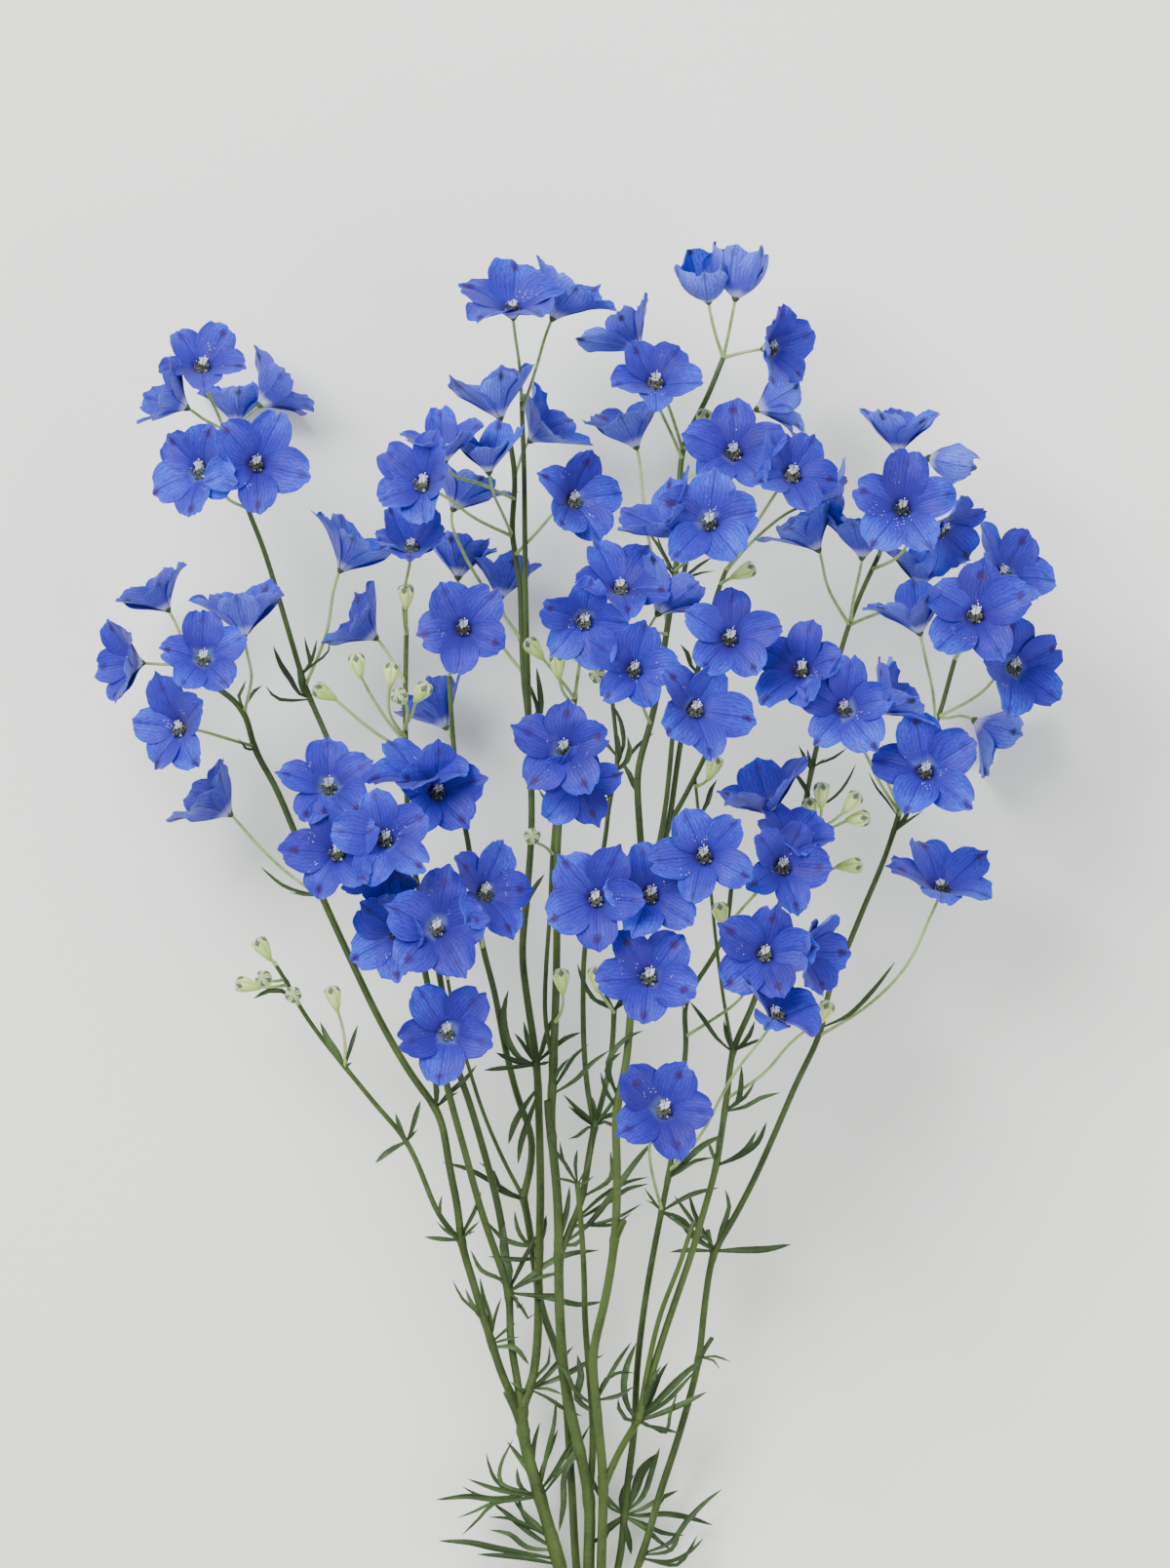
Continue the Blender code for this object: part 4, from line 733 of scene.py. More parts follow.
def routed(kind: type, row: Sequence) -> Bloom | Stem | Bud | Lobe:
    """Make a member of a table.

    Args:
        kind: Its dataclass, whose last field is its route.
        row: Its values, the last of them the points of its route.

    Returns:
        The member.
    """
    plain = len(fields(kind)) - 1
    return kind(*row[:plain], tuple(row[plain:]))


STEMS: tuple[Stem, ...] = tuple(routed(Stem, (node, *row)) for node, rows in read(STEM_TABLE) for row in rows)
BLOOMS: dict[str, tuple[Bloom, ...]] = {
    group: tuple(routed(Bloom, row) for row in rows) for group, rows in read(BLOOM_TABLE)
}
BUDS: tuple[Bud, ...] = tuple(routed(Bud, (stem, *row)) for stem, rows in read(BUD_TABLE) for row in rows)
LOBES: tuple[Lobe, ...] = tuple(routed(Lobe, (stem, *row)) for stem, rows in read(LOBE_TABLE) for row in rows)


def smooth(x: float) -> float:
    """Ease from 0 to 1 as x goes from 0 to 1."""
    x = min(max(x, 0.0), 1.0)
    return x * x * (3.0 - 2.0 * x)


def photo_point(x: float, y: float, height: float) -> Vector:
    """The point in metres of a photo pixel at a height in millimetres."""
    return Vector(((x - MIDDLE_X) * PHOTO_PIXEL, (MIDDLE_Y - y) * PHOTO_PIXEL, height * MM))


def facing_rotation(facing: Sequence[float]) -> Quaternion:
    """The rotation that turns +Z to a facing by the shortest way."""
    return Vector((0.0, 0.0, 1.0)).rotation_difference(Vector(facing).normalized())


def select_only(piece: Piece | None) -> None:
    """Select one piece and make it active, or clear the selection.

    Args:
        piece: The piece, or None.
    """
    for obj in bpy.context.selected_objects:
        obj.select_set(False)
    if piece is not None:
        piece.select_set(True)
        bpy.context.view_layer.objects.active = piece


class Graph:
    """A short way to write the nodes of a material or a node group."""

    def __init__(self, tree: bpy.types.NodeTree) -> None:
        """Keep the tree that the nodes go into."""
        self.tree = tree

    def node(self, kind: str, **settings: object) -> bpy.types.Node:
        """Add a node.

        Args:
            kind: Blender's name of the node type.
            settings: Properties set on the node.

        Returns:
            The new node.
        """
        made = self.tree.nodes.new(kind)
        for key, value in settings.items():
            setattr(made, key, value)
        return made

    def feed(self, socket: Socket, value: object) -> None:
        """Link a socket to another one, or give it a constant.

        Args:
            socket: The socket that is fed.
            value: A socket or a constant.
        """
        if isinstance(value, Socket):
            self.tree.links.new(value, socket)
        else:
            socket.default_value = value

    def math(self, operation: str, a: object, b: object = 0.0, c: object = 0.0) -> Socket:
        """Add a Math node.

        Args:
            operation: Its operation.
            a: First value or socket.
            b: Second value or socket.
            c: Third value or socket.

        Returns:
            Its output socket.
        """
        made = self.node("ShaderNodeMath", operation=operation)
        for socket, value in zip(made.inputs, (a, b, c)):
            self.feed(socket, value)
        return made.outputs[0]

    def times(self, a: object, b: object) -> Socket:
        """The product of two values."""
        return self.math("MULTIPLY", a, b)

    def plus(self, a: object, b: object) -> Socket:
        """The sum of two values."""
        return self.math("ADD", a, b)

    def minus(self, a: object, b: object) -> Socket:
        """The difference of two values."""
        return self.math("SUBTRACT", a, b)

    def from_middle(self, across: object) -> Socket:
        """Turn a share across, 0 to 1, into a place from -1 to 1."""
        return self.math("MULTIPLY_ADD", across, 2.0, -1.0)

    def span(self, value: object, low: float, high: float, start: float = 0.0, end: float = 1.0) -> Socket:
        """Map a value smoothly from one range to another.

        Args:
            value: The value or socket.
            low: Where the first range starts.
            high: Where it ends.
            start: Result at low.
            end: Result at high.

        Returns:
            The mapped socket.
        """
        made = self.node("ShaderNodeMapRange", interpolation_type="SMOOTHSTEP")
        for socket, number in zip(made.inputs, (value, low, high, start, end)):
            self.feed(socket, number)
        return made.outputs[0]

    def mix(self, factor: object, a: object, b: object) -> Socket:
        """Mix two colours.

        Args:
            factor: Share of the second colour.
            a: First colour.
            b: Second colour.

        Returns:
            The mixed colour socket.
        """
        made = self.node("ShaderNodeMix", data_type="RGBA")
        for index, value in zip(MIX_INPUTS, (factor, a, b)):
            self.feed(made.inputs[index], value)
        return made.outputs[MIX_RESULT]

    def noise(self, scale: float, detail: float = 2.0) -> Socket:
        """Noise over the object's own coordinates.

        Args:
            scale: Its scale.
            detail: How many finer layers it has.

        Returns:
            Its value socket.
        """
        made = self.node("ShaderNodeTexNoise")
        self.feed(made.inputs["Vector"], self.node("ShaderNodeTexCoord").outputs["Object"])
        made.inputs["Scale"].default_value = scale
        made.inputs["Detail"].default_value = detail
        return made.outputs["Fac"]

    def surface(self) -> tuple[Socket, Socket]:
        """The piece's own UV map as two sockets.

        Returns:
            The shares along and across.
        """
        layer = self.node("ShaderNodeUVMap", uv_map="UVMap")
        parts = self.node("ShaderNodeSeparateXYZ")
        self.tree.links.new(layer.outputs[0], parts.inputs[0])
        return parts.outputs[0], parts.outputs[1]

    def tone(self) -> Socket:
        """The lightness that each repeat carries as an attribute."""
        return self.node("ShaderNodeAttribute", attribute_name="tone").outputs["Fac"]

    def placed(self, tree: bpy.types.NodeTree, values: dict[str, object]) -> bpy.types.Node:
        """Place a node group.

        Args:
            tree: The group.
            values: Its inputs by name, as sockets or numbers.

        Returns:
            The group node.
        """
        made = self.node("ShaderNodeGroup", node_tree=tree)
        for label, value in values.items():
            self.feed(made.inputs[label], value)
        return made


@dataclass
class Groups:
    """The node groups that the finishes share."""

    # Veins: scale of their wander, half width of a vein, of the middle vein, and where they fade in
    wander_scale: float = 420.0
    vein_width: float = 0.24
    middle_width: float = 0.09
    fade_in: Triple = (0.04, 0.35, 0.15)
    # Mottle: scale, detail and share of its broad and its fine noise
    mottles: tuple[Triple, ...] = ((70.0, 2.0, 1.3), (650.0, 3.0, 0.7))

    def __post_init__(self) -> None:
        """Build both groups."""
        self.veins = self.vein_group()
        self.mottle = self.mottle_group()

    def start(
        self, name: str, inputs: Sequence[tuple[str, float]], outputs: Sequence[str]
    ) -> tuple[Graph, bpy.types.Node, bpy.types.Node]:
        """Start a node group of value sockets.

        Args:
            name: The group's name.
            inputs: Names of its inputs with their defaults.
            outputs: Names of its outputs.

        Returns:
            Its graph, its input node and its output node.
        """
        tree = bpy.data.node_groups.new(name, "ShaderNodeTree")
        for label, default in inputs:
            socket = tree.interface.new_socket(label, in_out="INPUT", socket_type="NodeSocketFloat")
            socket.default_value = default
        for label in outputs:
            tree.interface.new_socket(label, in_out="OUTPUT", socket_type="NodeSocketFloat")
        graph = Graph(tree)
        return graph, graph.node("NodeGroupInput"), graph.node("NodeGroupOutput")

    def vein_group(self) -> bpy.types.NodeTree:
        """Veins that fan out along a petal or leaf, with a stronger one in the middle.

        Returns:
            A group with the vein mask and the middle vein's mask.
        """
        inputs = (("Along", 0.0), ("Across", 0.5), ("Count", 6.0), ("Waver", 0.3))
        graph, inlet, outlet = self.start("vein_fan", inputs, ("Veins", "Middle"))
        along, across, count, waver = (inlet.outputs[index] for index in range(len(inputs)))
        side = graph.from_middle(across)
        wander = graph.times(graph.minus(graph.noise(self.wander_scale, 1.0), 0.5), waver)
        bent = graph.plus(graph.times(side, count), graph.times(wander, graph.times(along, 2.0)))
        thin = graph.span(graph.math("PINGPONG", bent, 0.5), 0.0, self.vein_width, 1.0, 0.0)
        graph.feed(outlet.inputs[0], graph.times(thin, graph.span(along, *self.fade_in)))
        off = graph.math("ABSOLUTE", side)
        graph.feed(outlet.inputs[1], graph.span(off, 0.0, self.middle_width, 1.0, 0.0))
        return graph.tree

    def mottle_group(self) -> bpy.types.NodeTree:
        """Soft uneven lightness from two sizes of noise and the repeat's own tone.

        Returns:
            A group with one output around 0.5.
        """
        graph, inlet, outlet = self.start("mottle", (("Tone", 0.0), ("Strength", 0.5)), ("Lightness",))
        layers = [
            graph.times(graph.minus(graph.noise(scale, detail), 0.5), share)
            for scale, detail, share in self.mottles
        ]
        uneven = graph.math("MULTIPLY_ADD", graph.plus(*layers), inlet.outputs[1], 0.5)
        graph.feed(outlet.inputs[0], graph.plus(uneven, inlet.outputs[0]))
        return graph.tree


@dataclass(frozen=True)
class Surface:
    """Constants that go on a finish's own shader sockets."""

    roughness: float = 0.55
    specular: float = 0.4
    sheen: float = 0.0
    bump: float = 0.25
    depth: float = 0.15 * MM

    def start(self, name: str) -> tuple[bpy.types.Material, Graph]:
        """Start a material with this surface.

        Args:
            name: The material's name.

        Returns:
            The material and its graph.
        """
        made = bpy.data.materials.new(name)
        made.use_nodes = True
        inputs = made.node_tree.nodes["Principled BSDF"].inputs
        inputs["Roughness"].default_value = self.roughness
        inputs["Specular IOR Level"].default_value = self.specular
        inputs["Sheen Weight"].default_value = self.sheen
        return made, Graph(made.node_tree)

    def dress(self, graph: Graph, colour: Socket, height: Socket | None) -> None:
        """Feed a colour to the shader, and a height through a Bump node to its Normal.

        Args:
            graph: The material's graph.
            colour: The colour.
            height: The height, or None for a surface without relief.
        """
        inputs = graph.tree.nodes["Principled BSDF"].inputs
        graph.feed(inputs["Base Color"], colour)
        if height is not None:
            bump = graph.node("ShaderNodeBump")
            bump.inputs["Strength"].default_value = self.bump
            bump.inputs["Distance"].default_value = self.depth
            graph.feed(bump.inputs["Height"], height)
            graph.feed(inputs["Normal"], bump.outputs[0])


@dataclass(frozen=True)
class Spot:
    """The dark mark near a sepal's tip: its place, its size, and how ragged and rare it is."""

    place: float = 0.85
    place_by_tone: float = 0.35
    length: float = 0.10
    width: float = 0.24
    grain: float = 900.0
    raggedness: float = 1.2
    edge: Span = (0.25, 1.25)
    patch_scale: float = 42.0
    patches: Triple = (0.40, 0.56, 0.45)
    strength: float = 0.95

    def mask(self, graph: Graph, along: Socket, across: Socket) -> Socket:
        """Where the mark shows.

        Args:
            graph: The material's graph.
            along: Share along the sepal.
            across: Share across it.

        Returns:
            The mask.
        """
        place = graph.math("MULTIPLY_ADD", graph.tone(), self.place_by_tone, self.place)
        ahead = graph.math("DIVIDE", graph.minus(along, place), self.length)
        aside = graph.math("DIVIDE", graph.from_middle(across), self.width)
        away = graph.math("SQRT", graph.plus(graph.times(ahead, ahead), graph.times(aside, aside)))
        torn = graph.math("MULTIPLY_ADD", graph.noise(self.grain), self.raggedness, -self.raggedness / 2.0)
        shown = graph.span(graph.plus(away, torn), *self.edge, 1.0, 0.0)
        some = graph.span(graph.noise(self.patch_scale, 0.0), *self.patches)
        return graph.times(shown, graph.times(some, self.strength))


@dataclass(frozen=True)
class PollenAndGlints:
    """Pale specks strewn over a sepal's face, most of them near the throat: partly pollen, partly painted
    glints.
    """

    colour: Colour = (0.7, 0.72, 0.9, 1)
    scale: float = 900.0
    speck: Triple = (0.14, 0.24, 0.75)
    patch_scale: float = 110.0
    patches: Span = (0.63, 0.68)
    thinning: Ramp = (0.4, 0.65, 1.0, 0.12)

    def over(self, graph: Graph, along: Socket, colour: Socket) -> Socket:
        """Strew the specks over a colour.

        Args:
            graph: The material's graph.
            along: Share along the sepal.
            colour: The colour under them.

        Returns:
            The specked colour.
        """
        cells = graph.node("ShaderNodeTexVoronoi", feature="F1")
        graph.feed(cells.inputs["Vector"], graph.node("ShaderNodeTexCoord").outputs["Object"])
        cells.inputs["Scale"].default_value = self.scale
        dots = graph.span(cells.outputs["Distance"], *self.speck, 0.0)
        strewn = graph.span(graph.noise(self.patch_scale, 1.0), *self.patches)
        share = graph.times(dots, graph.times(strewn, graph.span(along, *self.thinning)))
        return graph.mix(share, colour, self.colour)


@dataclass(frozen=True)
class PetalFinish:
    """The blue of a sepal: deep at the throat, lighter outwards, finely veined. The deepening towards the
    throat is partly the sepal's own blue and partly painted shade; on the face the dark throat colour is
    painted shade in the throat's hollow.
    """

    name: str
    deep: Colour
    middle: Colour
    light: Colour
    throat: Colour
    glow: Colour
    vein: Colour
    mark: Colour
    throat_reach: float
    # Pale specks on the face: partly pollen, partly painted glints
    pollen: PollenAndGlints | None = None
    spot: Spot = Spot()
    # Gain and start of the lightening from throat to rim, partly painted shade deepening into the throat, and
    # where its two steps lie
    outward: Span = (0.72, -0.38)
    steps: tuple[Span, Span] = ((0.1, 0.62), (0.55, 1.1))
    vein_count: float = 5.5
    vein_waver: float = 1.2
    vein_strengths: Span = (0.5, 0.55)
    glow_scale: float = 46.0
    glow_patches: Span = (0.54, 0.6)
    surface: Surface = Surface(roughness=0.55, specular=0.22, sheen=0.08, bump=0.4)

    def build(self, groups: Groups) -> bpy.types.Material:
        """Make the material.

        Args:
            groups: The shared node groups.

        Returns:
            The finished material.
        """
        made, graph = self.surface.start(self.name)
        along, across = graph.surface()
        uneven = graph.placed(groups.mottle, {"Tone": graph.tone(), "Strength": 0.8}).outputs[0]
        # Ramp from throat to rim: partly the sepal's own blue, partly painted shade deepening into the throat
        level = graph.plus(uneven, graph.math("MULTIPLY_ADD", along, *self.outward))
        colour = graph.mix(graph.span(level, *self.steps[0]), self.deep, self.middle)
        colour = graph.mix(graph.span(level, *self.steps[1]), colour, self.light)
        inputs = {"Along": along, "Across": across, "Count": self.vein_count, "Waver": self.vein_waver}
        fan = graph.placed(groups.veins, inputs)
        for output, strength in zip(fan.outputs, self.vein_strengths):
            colour = graph.mix(graph.times(output, strength), colour, self.vein)
        # Near the root: on the face the throat colour is painted shade in the throat's hollow, broken by pale
        # patches of the sepal's own colour; on the back a pale base of its own
        patches = graph.span(graph.noise(self.glow_scale, 0.0), *self.glow_patches)
        glow = graph.mix(patches, self.throat, self.glow)
        inner = graph.span(along, self.throat_reach / 4.0, self.throat_reach, 1.0, 0.0)
        colour = graph.mix(inner, colour, glow)
        colour = graph.mix(self.spot.mask(graph, along, across), colour, self.mark)
        # Pale specks: partly pollen, partly painted glints
        if self.pollen is not None:
            colour = self.pollen.over(graph, along, colour)
        raised = graph.plus(fan.outputs[0], graph.times(fan.outputs[1], 1.5))
        self.surface.dress(graph, colour, raised)
        return made


@dataclass(frozen=True)
class GreenFinish:
    """A plant green of uneven lightness, with long fine pale ridges that are partly ribs and partly painted
    highlight streaks or, for 0 ridges, a middle vein.
    """

    name: str
    dark: Colour
    light: Colour
    ridges: float
    lightness: Span = (0.15, 0.95)
    ridge_and_highlight_strength: float = 0.45
    vein_strength: float = 0.6
    surface: Surface = Surface(roughness=0.5, specular=0.3, bump=0.4)

    def build(self, groups: Groups) -> bpy.types.Material:
        """Make the material.

        Args:
            groups: The shared node groups.

        Returns:
            The finished material.
        """
        made, graph = self.surface.start(self.name)
        along, across = graph.surface()
        uneven = graph.placed(groups.mottle, {"Tone": graph.tone(), "Strength": 1.0}).outputs[0]
        colour = graph.mix(graph.span(uneven, *self.lightness), self.dark, self.light)
        if self.ridges:
            turn = graph.times(across, self.ridges * math.tau)
            lines = graph.math("MULTIPLY_ADD", graph.math("SINE", turn), 0.5, 0.5)
            strength = self.ridge_and_highlight_strength
        else:
            inputs = {"Along": along, "Across": across, "Count": 1.0, "Waver": 0.1}
            lines = graph.placed(groups.veins, inputs).outputs[1]
            strength = self.vein_strength
        # Lighter along the lines: on stems and stalks partly ribs, partly painted highlight streaks; on
        # leaves the middle vein
        colour = graph.mix(graph.times(lines, strength), colour, self.light)
        self.surface.dress(graph, colour, lines)
        return made


@dataclass(frozen=True)
class BudFinish:
    """A cream bud with five grooves and five grey-green dots round its tip."""

    name: str
    base: Colour
    belly: Colour
    tip: Colour
    dot: Colour
    # Where along the bud the belly's and the tip's colours set in, and how the grooves fade
    belly_from: Span = (0.05, 0.45)
    patches: Span = (0.3, 1.1)
    tip_from: Ramp = (0.74, 0.92, 0.0, 0.55)
    groove_edge: Ramp = (0.0, 0.22, 0.7, 0.0)
    groove_from: Span = (0.2, 0.5)
    # Where along the bud the dots lie, their length, how fast they narrow and their edge
    dot_place: float = 0.87
    dot_length: float = 0.10
    dot_narrowing: float = 1.7
    dot_edge: Span = (0.95, 1.6)
    surface: Surface = Surface(roughness=0.6, specular=0.35, sheen=0.3, bump=0.3)

    def build(self, groups: Groups) -> bpy.types.Material:
        """Make the material.

        Args:
            groups: The shared node groups.

        Returns:
            The finished material.
        """
        made, graph = self.surface.start(self.name)
        along, across = graph.surface()
        uneven = graph.placed(groups.mottle, {"Tone": graph.tone(), "Strength": 0.6}).outputs[0]
        colour = graph.mix(graph.span(along, *self.belly_from), self.base, self.belly)
        colour = graph.mix(graph.span(uneven, *self.patches), colour, self.base)
        turn = graph.times(across, SEPALS * math.tau)
        crest = graph.math("MULTIPLY_ADD", graph.math("COSINE", turn), 0.5, 0.5)
        off = graph.math("ABSOLUTE", graph.minus(along, self.dot_place))
        near = graph.math("DIVIDE", off, self.dot_length)
        away = graph.plus(near, graph.times(graph.minus(1.0, crest), self.dot_narrowing))
        colour = graph.mix(graph.span(along, *self.tip_from), colour, self.tip)
        colour = graph.mix(graph.span(away, *self.dot_edge, 0.9, 0.0), colour, self.dot)
        groove = graph.times(graph.span(crest, *self.groove_edge), graph.span(along, *self.groove_from))
        colour = graph.mix(groove, colour, self.base)
        inputs = {"Along": along, "Across": across, "Count": 12.0, "Waver": 0.5}
        self.surface.dress(graph, colour, graph.placed(groups.veins, inputs).outputs[0])
        return made


@dataclass(frozen=True)
class PlainFinish:
    """A small part's colour, broken up by fine noise."""

    name: str
    dark: Colour
    light: Colour
    lightness: Span = (0.2, 0.8)
    surface: Surface = Surface(roughness=0.6, specular=0.3, sheen=0.1, bump=0.2)

    def build(self, groups: Groups) -> bpy.types.Material:
        """Make the material.

        Args:
            groups: The shared node groups.

        Returns:
            The finished material.
        """
        made, graph = self.surface.start(self.name)
        uneven = graph.placed(groups.mottle, {"Tone": graph.tone(), "Strength": 1.4}).outputs[0]
        colour = graph.mix(graph.span(uneven, *self.lightness), self.dark, self.light)
        self.surface.dress(graph, colour, uneven)
        return made


class Palette:
    """Every finish of the plant, built once."""

    plans: dict[Finish, PetalFinish | GreenFinish | BudFinish | PlainFinish] = {
        # On the face the throat colour is painted shade where the sepals meet; on the back it is the sepal's
        # own pale base
        Finish.PETAL_FACE: PetalFinish(
            "petal_face", deep=(0.019, 0.011, 0.25, 1), middle=(0.025, 0.020, 0.42, 1),
            light=(0.030, 0.066, 0.74, 1), throat=(0.016, 0.008, 0.14, 1), glow=(0.13, 0.18, 0.42, 1),
            vein=(0.008, 0.004, 0.15, 1), mark=(0.026, 0.005, 0.072, 1), throat_reach=0.30, pollen=PollenAndGlints()),
        Finish.PETAL_BACK: PetalFinish(
            "petal_back", deep=(0.028, 0.026, 0.36, 1), middle=(0.06, 0.066, 0.60, 1),
            light=(0.105, 0.155, 0.82, 1), throat=(0.34, 0.34, 0.66, 1), glow=(0.42, 0.45, 0.62, 1),
            vein=(0.022, 0.016, 0.28, 1), mark=(0.012, 0.014, 0.02, 1), throat_reach=0.24),
        Finish.STEM: GreenFinish("stem_green", (0.017, 0.032, 0.004, 1), (0.066, 0.106, 0.022, 1), 4),
        Finish.STALK: GreenFinish("stalk_green", (0.08, 0.15, 0.03, 1), (0.36, 0.48, 0.18, 1), 3),
        Finish.LEAF: GreenFinish("leaf_green", (0.020, 0.040, 0.010, 1), (0.062, 0.110, 0.032, 1), 0),
        Finish.BUD: BudFinish(
            "bud_cream", base=(0.32, 0.52, 0.06, 1), belly=(0.72, 0.84, 0.30, 1),
            tip=(0.55, 0.62, 0.46, 1), dot=(0.035, 0.065, 0.045, 1)),
        Finish.ANTHER: PlainFinish("anther_dark", (0.008, 0.010, 0.008, 1), (0.07, 0.08, 0.045, 1)),
        Finish.FILAMENT: PlainFinish("filament_pale", (0.22, 0.27, 0.22, 1), (0.62, 0.66, 0.58, 1)),
        Finish.TUFT: PlainFinish("tuft_white", (0.55, 0.56, 0.72, 1), (0.95, 0.95, 0.95, 1)),
        Finish.CUT: PlainFinish("cut_pith", (0.40, 0.45, 0.22, 1), (0.72, 0.75, 0.50, 1)),
    }

    def __init__(self) -> None:
        """Build the shared groups and the materials."""
        groups = Groups()
        self.materials = {finish: plan.build(groups) for finish, plan in self.plans.items()}

    def __getitem__(self, finish: Finish) -> bpy.types.Material:
        """The material of a finish."""
        return self.materials[finish]


@dataclass
class Bench:
    """Where grid primitives are added once per size and copied into pieces."""

    palette: Palette
    grids: dict[tuple[int, int], bpy.types.Mesh] = field(default_factory=dict)

    def grid(self, along: int, across: int) -> bpy.types.Mesh:
        """A unit grid primitive of a size, added the first time it is asked for.

        Args:
            along: Faces along it.
            across: Faces across it.

        Returns:
            The template mesh.
        """
        if (along, across) not in self.grids:
            select_only(None)
            bpy.ops.mesh.primitive_grid_add(
                x_subdivisions=along, y_subdivisions=across, size=2.0, calc_uvs=True)
            made = bpy.context.object
            mesh = made.data
            mesh.attributes.new("tone", "FLOAT", "POINT")
            mesh.polygons.foreach_set("use_smooth", [True] * len(mesh.polygons))
            self.grids[(along, across)] = mesh.copy()
            bpy.data.objects.remove(made)
        return self.grids[(along, across)]

    def place(self, name: str, mesh: bpy.types.Mesh, tone: float) -> Piece:
        """Put a mesh into the scene.

        Args:
            name: Name of the new object.
            mesh: Its mesh.
            tone: Lightness that it carries.

        Returns:
            The new object.
        """
        mesh.attributes["tone"].data.foreach_set("value", [tone] * len(mesh.vertices))
        made = bpy.data.objects.new(name, mesh)
        bpy.context.scene.collection.objects.link(made)
        return made

    def sheet(
        self, name: str, faces: tuple[int, int], shape: Shape, finishes: Sequence[Finish], tone: float = 0.0
    ) -> Piece:
        """Copy a grid and bend it to a surface.

        Args:
            name: Name of the new object.
            faces: Faces along it and across it.
            shape: Gives points for shares along and across, each 0 to 1.
            finishes: Its materials, the first on every face.
            tone: Lightness that it carries.

        Returns:
            The new object.
        """
        mesh = self.grid(*faces).copy()
        mesh.name = name
        flat = np.empty(len(mesh.vertices) * 3)
        mesh.vertices.foreach_get("co", flat)
        flat = (flat.reshape(-1, 3) + 1.0) / 2.0
        points = shape(flat[:, 0], flat[:, 1])
        mesh.vertices.foreach_set("co", np.ascontiguousarray(points, dtype=np.float32).ravel())
        for finish in finishes:
            mesh.materials.append(self.palette[finish])
        return self.place(name, mesh, tone)

    def copy(self, source: Piece, name: str, where: Matrix) -> Piece:
        """Copy a modelled piece with its own mesh to a place.

        Args:
            source: The piece.
            name: Name of the copy.
            where: Where it goes.

        Returns:
            The copy.
        """
        mesh = source.data.copy()
        mesh.transform(where)
        return self.place(name, mesh, 0.0)


def joined(pieces: Sequence[Piece], name: str, weld: bool = False) -> Piece:
    """Join pieces into one object.

    Args:
        pieces: The pieces, the first of which stays.
        name: Name of the result.
        weld: Whether seams and poles are merged.

    Returns:
        The joined object.
    """
    select_only(pieces[0])
    for piece in pieces:
        piece.select_set(True)
    if len(pieces) > 1:
        bpy.ops.object.join()
    result = bpy.context.view_layer.objects.active
    if weld:
        bpy.ops.object.mode_set(mode="EDIT")
        bpy.ops.mesh.select_all(action="SELECT")
        bpy.ops.mesh.remove_doubles(threshold=WELD_DISTANCE)
        bpy.ops.object.mode_set(mode="OBJECT")
    result.select_set(False)
    result.name = name
    result.data.name = name
    return result


def thickened(piece: Piece, thickness: float, back: int) -> None:
    """Give a sheet its thickness and apply it.

    Args:
        piece: The sheet.
        thickness: Its thickness in metres.
        back: How many material slots further the back's finish lies.
    """
    select_only(piece)
    shell = piece.modifiers.new("Thickness", "SOLIDIFY")
    shell.thickness = thickness
    shell.offset = 0.0
    shell.material_offset = back
    bpy.ops.object.modifier_apply(modifier=shell.name)
    piece.select_set(False)


def between(time: float, start: float, end: float, first: np.ndarray, last: np.ndarray) -> np.ndarray:
    """The point at a time on the way from first, left at start, to last, reached at end."""
    return (end - time) / (end - start) * first + (time - start) / (end - start) * last


def rounded_path(points: Sequence[Vector], step: float, ease: int = 0) -> np.ndarray:
    """Run a smooth curve through the points of a path.

    Args:
        points: The path's points.
        step: Distance between the points of the result, in metres.
        ease: How many times small bends are evened out.

    Returns:
        Points in rows.
    """
    knots = [np.array(point) for point in points]
    knots = [
        knot for index, knot in enumerate(knots)
        if index == 0 or np.linalg.norm(knot - knots[index - 1]) > SAME_PLACE
    ]
    knots = [2.0 * knots[0] - knots[1]] + knots + [2.0 * knots[-1] - knots[-2]]
    times = [0.0]
    for near, far in zip(knots, knots[1:]):
        times.append(times[-1] + math.sqrt(np.linalg.norm(far - near)))
    rows = []
    for index in range(1, len(knots) - 2):
        p0, p1, p2, p3 = knots[index - 1:index + 3]
        t0, t1, t2, t3 = times[index - 1:index + 3]
        count = max(1, round(float(np.linalg.norm(p2 - p1)) / step))
        for part in range(count):
            t = t1 + (t2 - t1) * part / count
            middle = between(t, t1, t2, p1, p2)
            early = between(t, t0, t2, between(t, t0, t1, p0, p1), middle)
            late = between(t, t1, t3, middle, between(t, t2, t3, p2, p3))
            rows.append(between(t, t1, t2, early, late))
    rows.append(knots[-2])
    route = np.array(rows)
    for _ in range(ease):
        route[1:-1] += 0.5 * ((route[:-2] + route[2:]) / 2.0 - route[1:-1])
    return route


def directions(path: np.ndarray) -> np.ndarray:
    """Unit directions along a path, in rows."""
    runs = np.gradient(path, axis=0)
    return runs / np.linalg.norm(runs, axis=1)[:, None]


def rows_of(along: np.ndarray, last: int) -> np.ndarray:
    """The row of a path, 0 to last, that each share along it falls on."""
    return np.clip(np.rint(along * last).astype(int), 0, last)


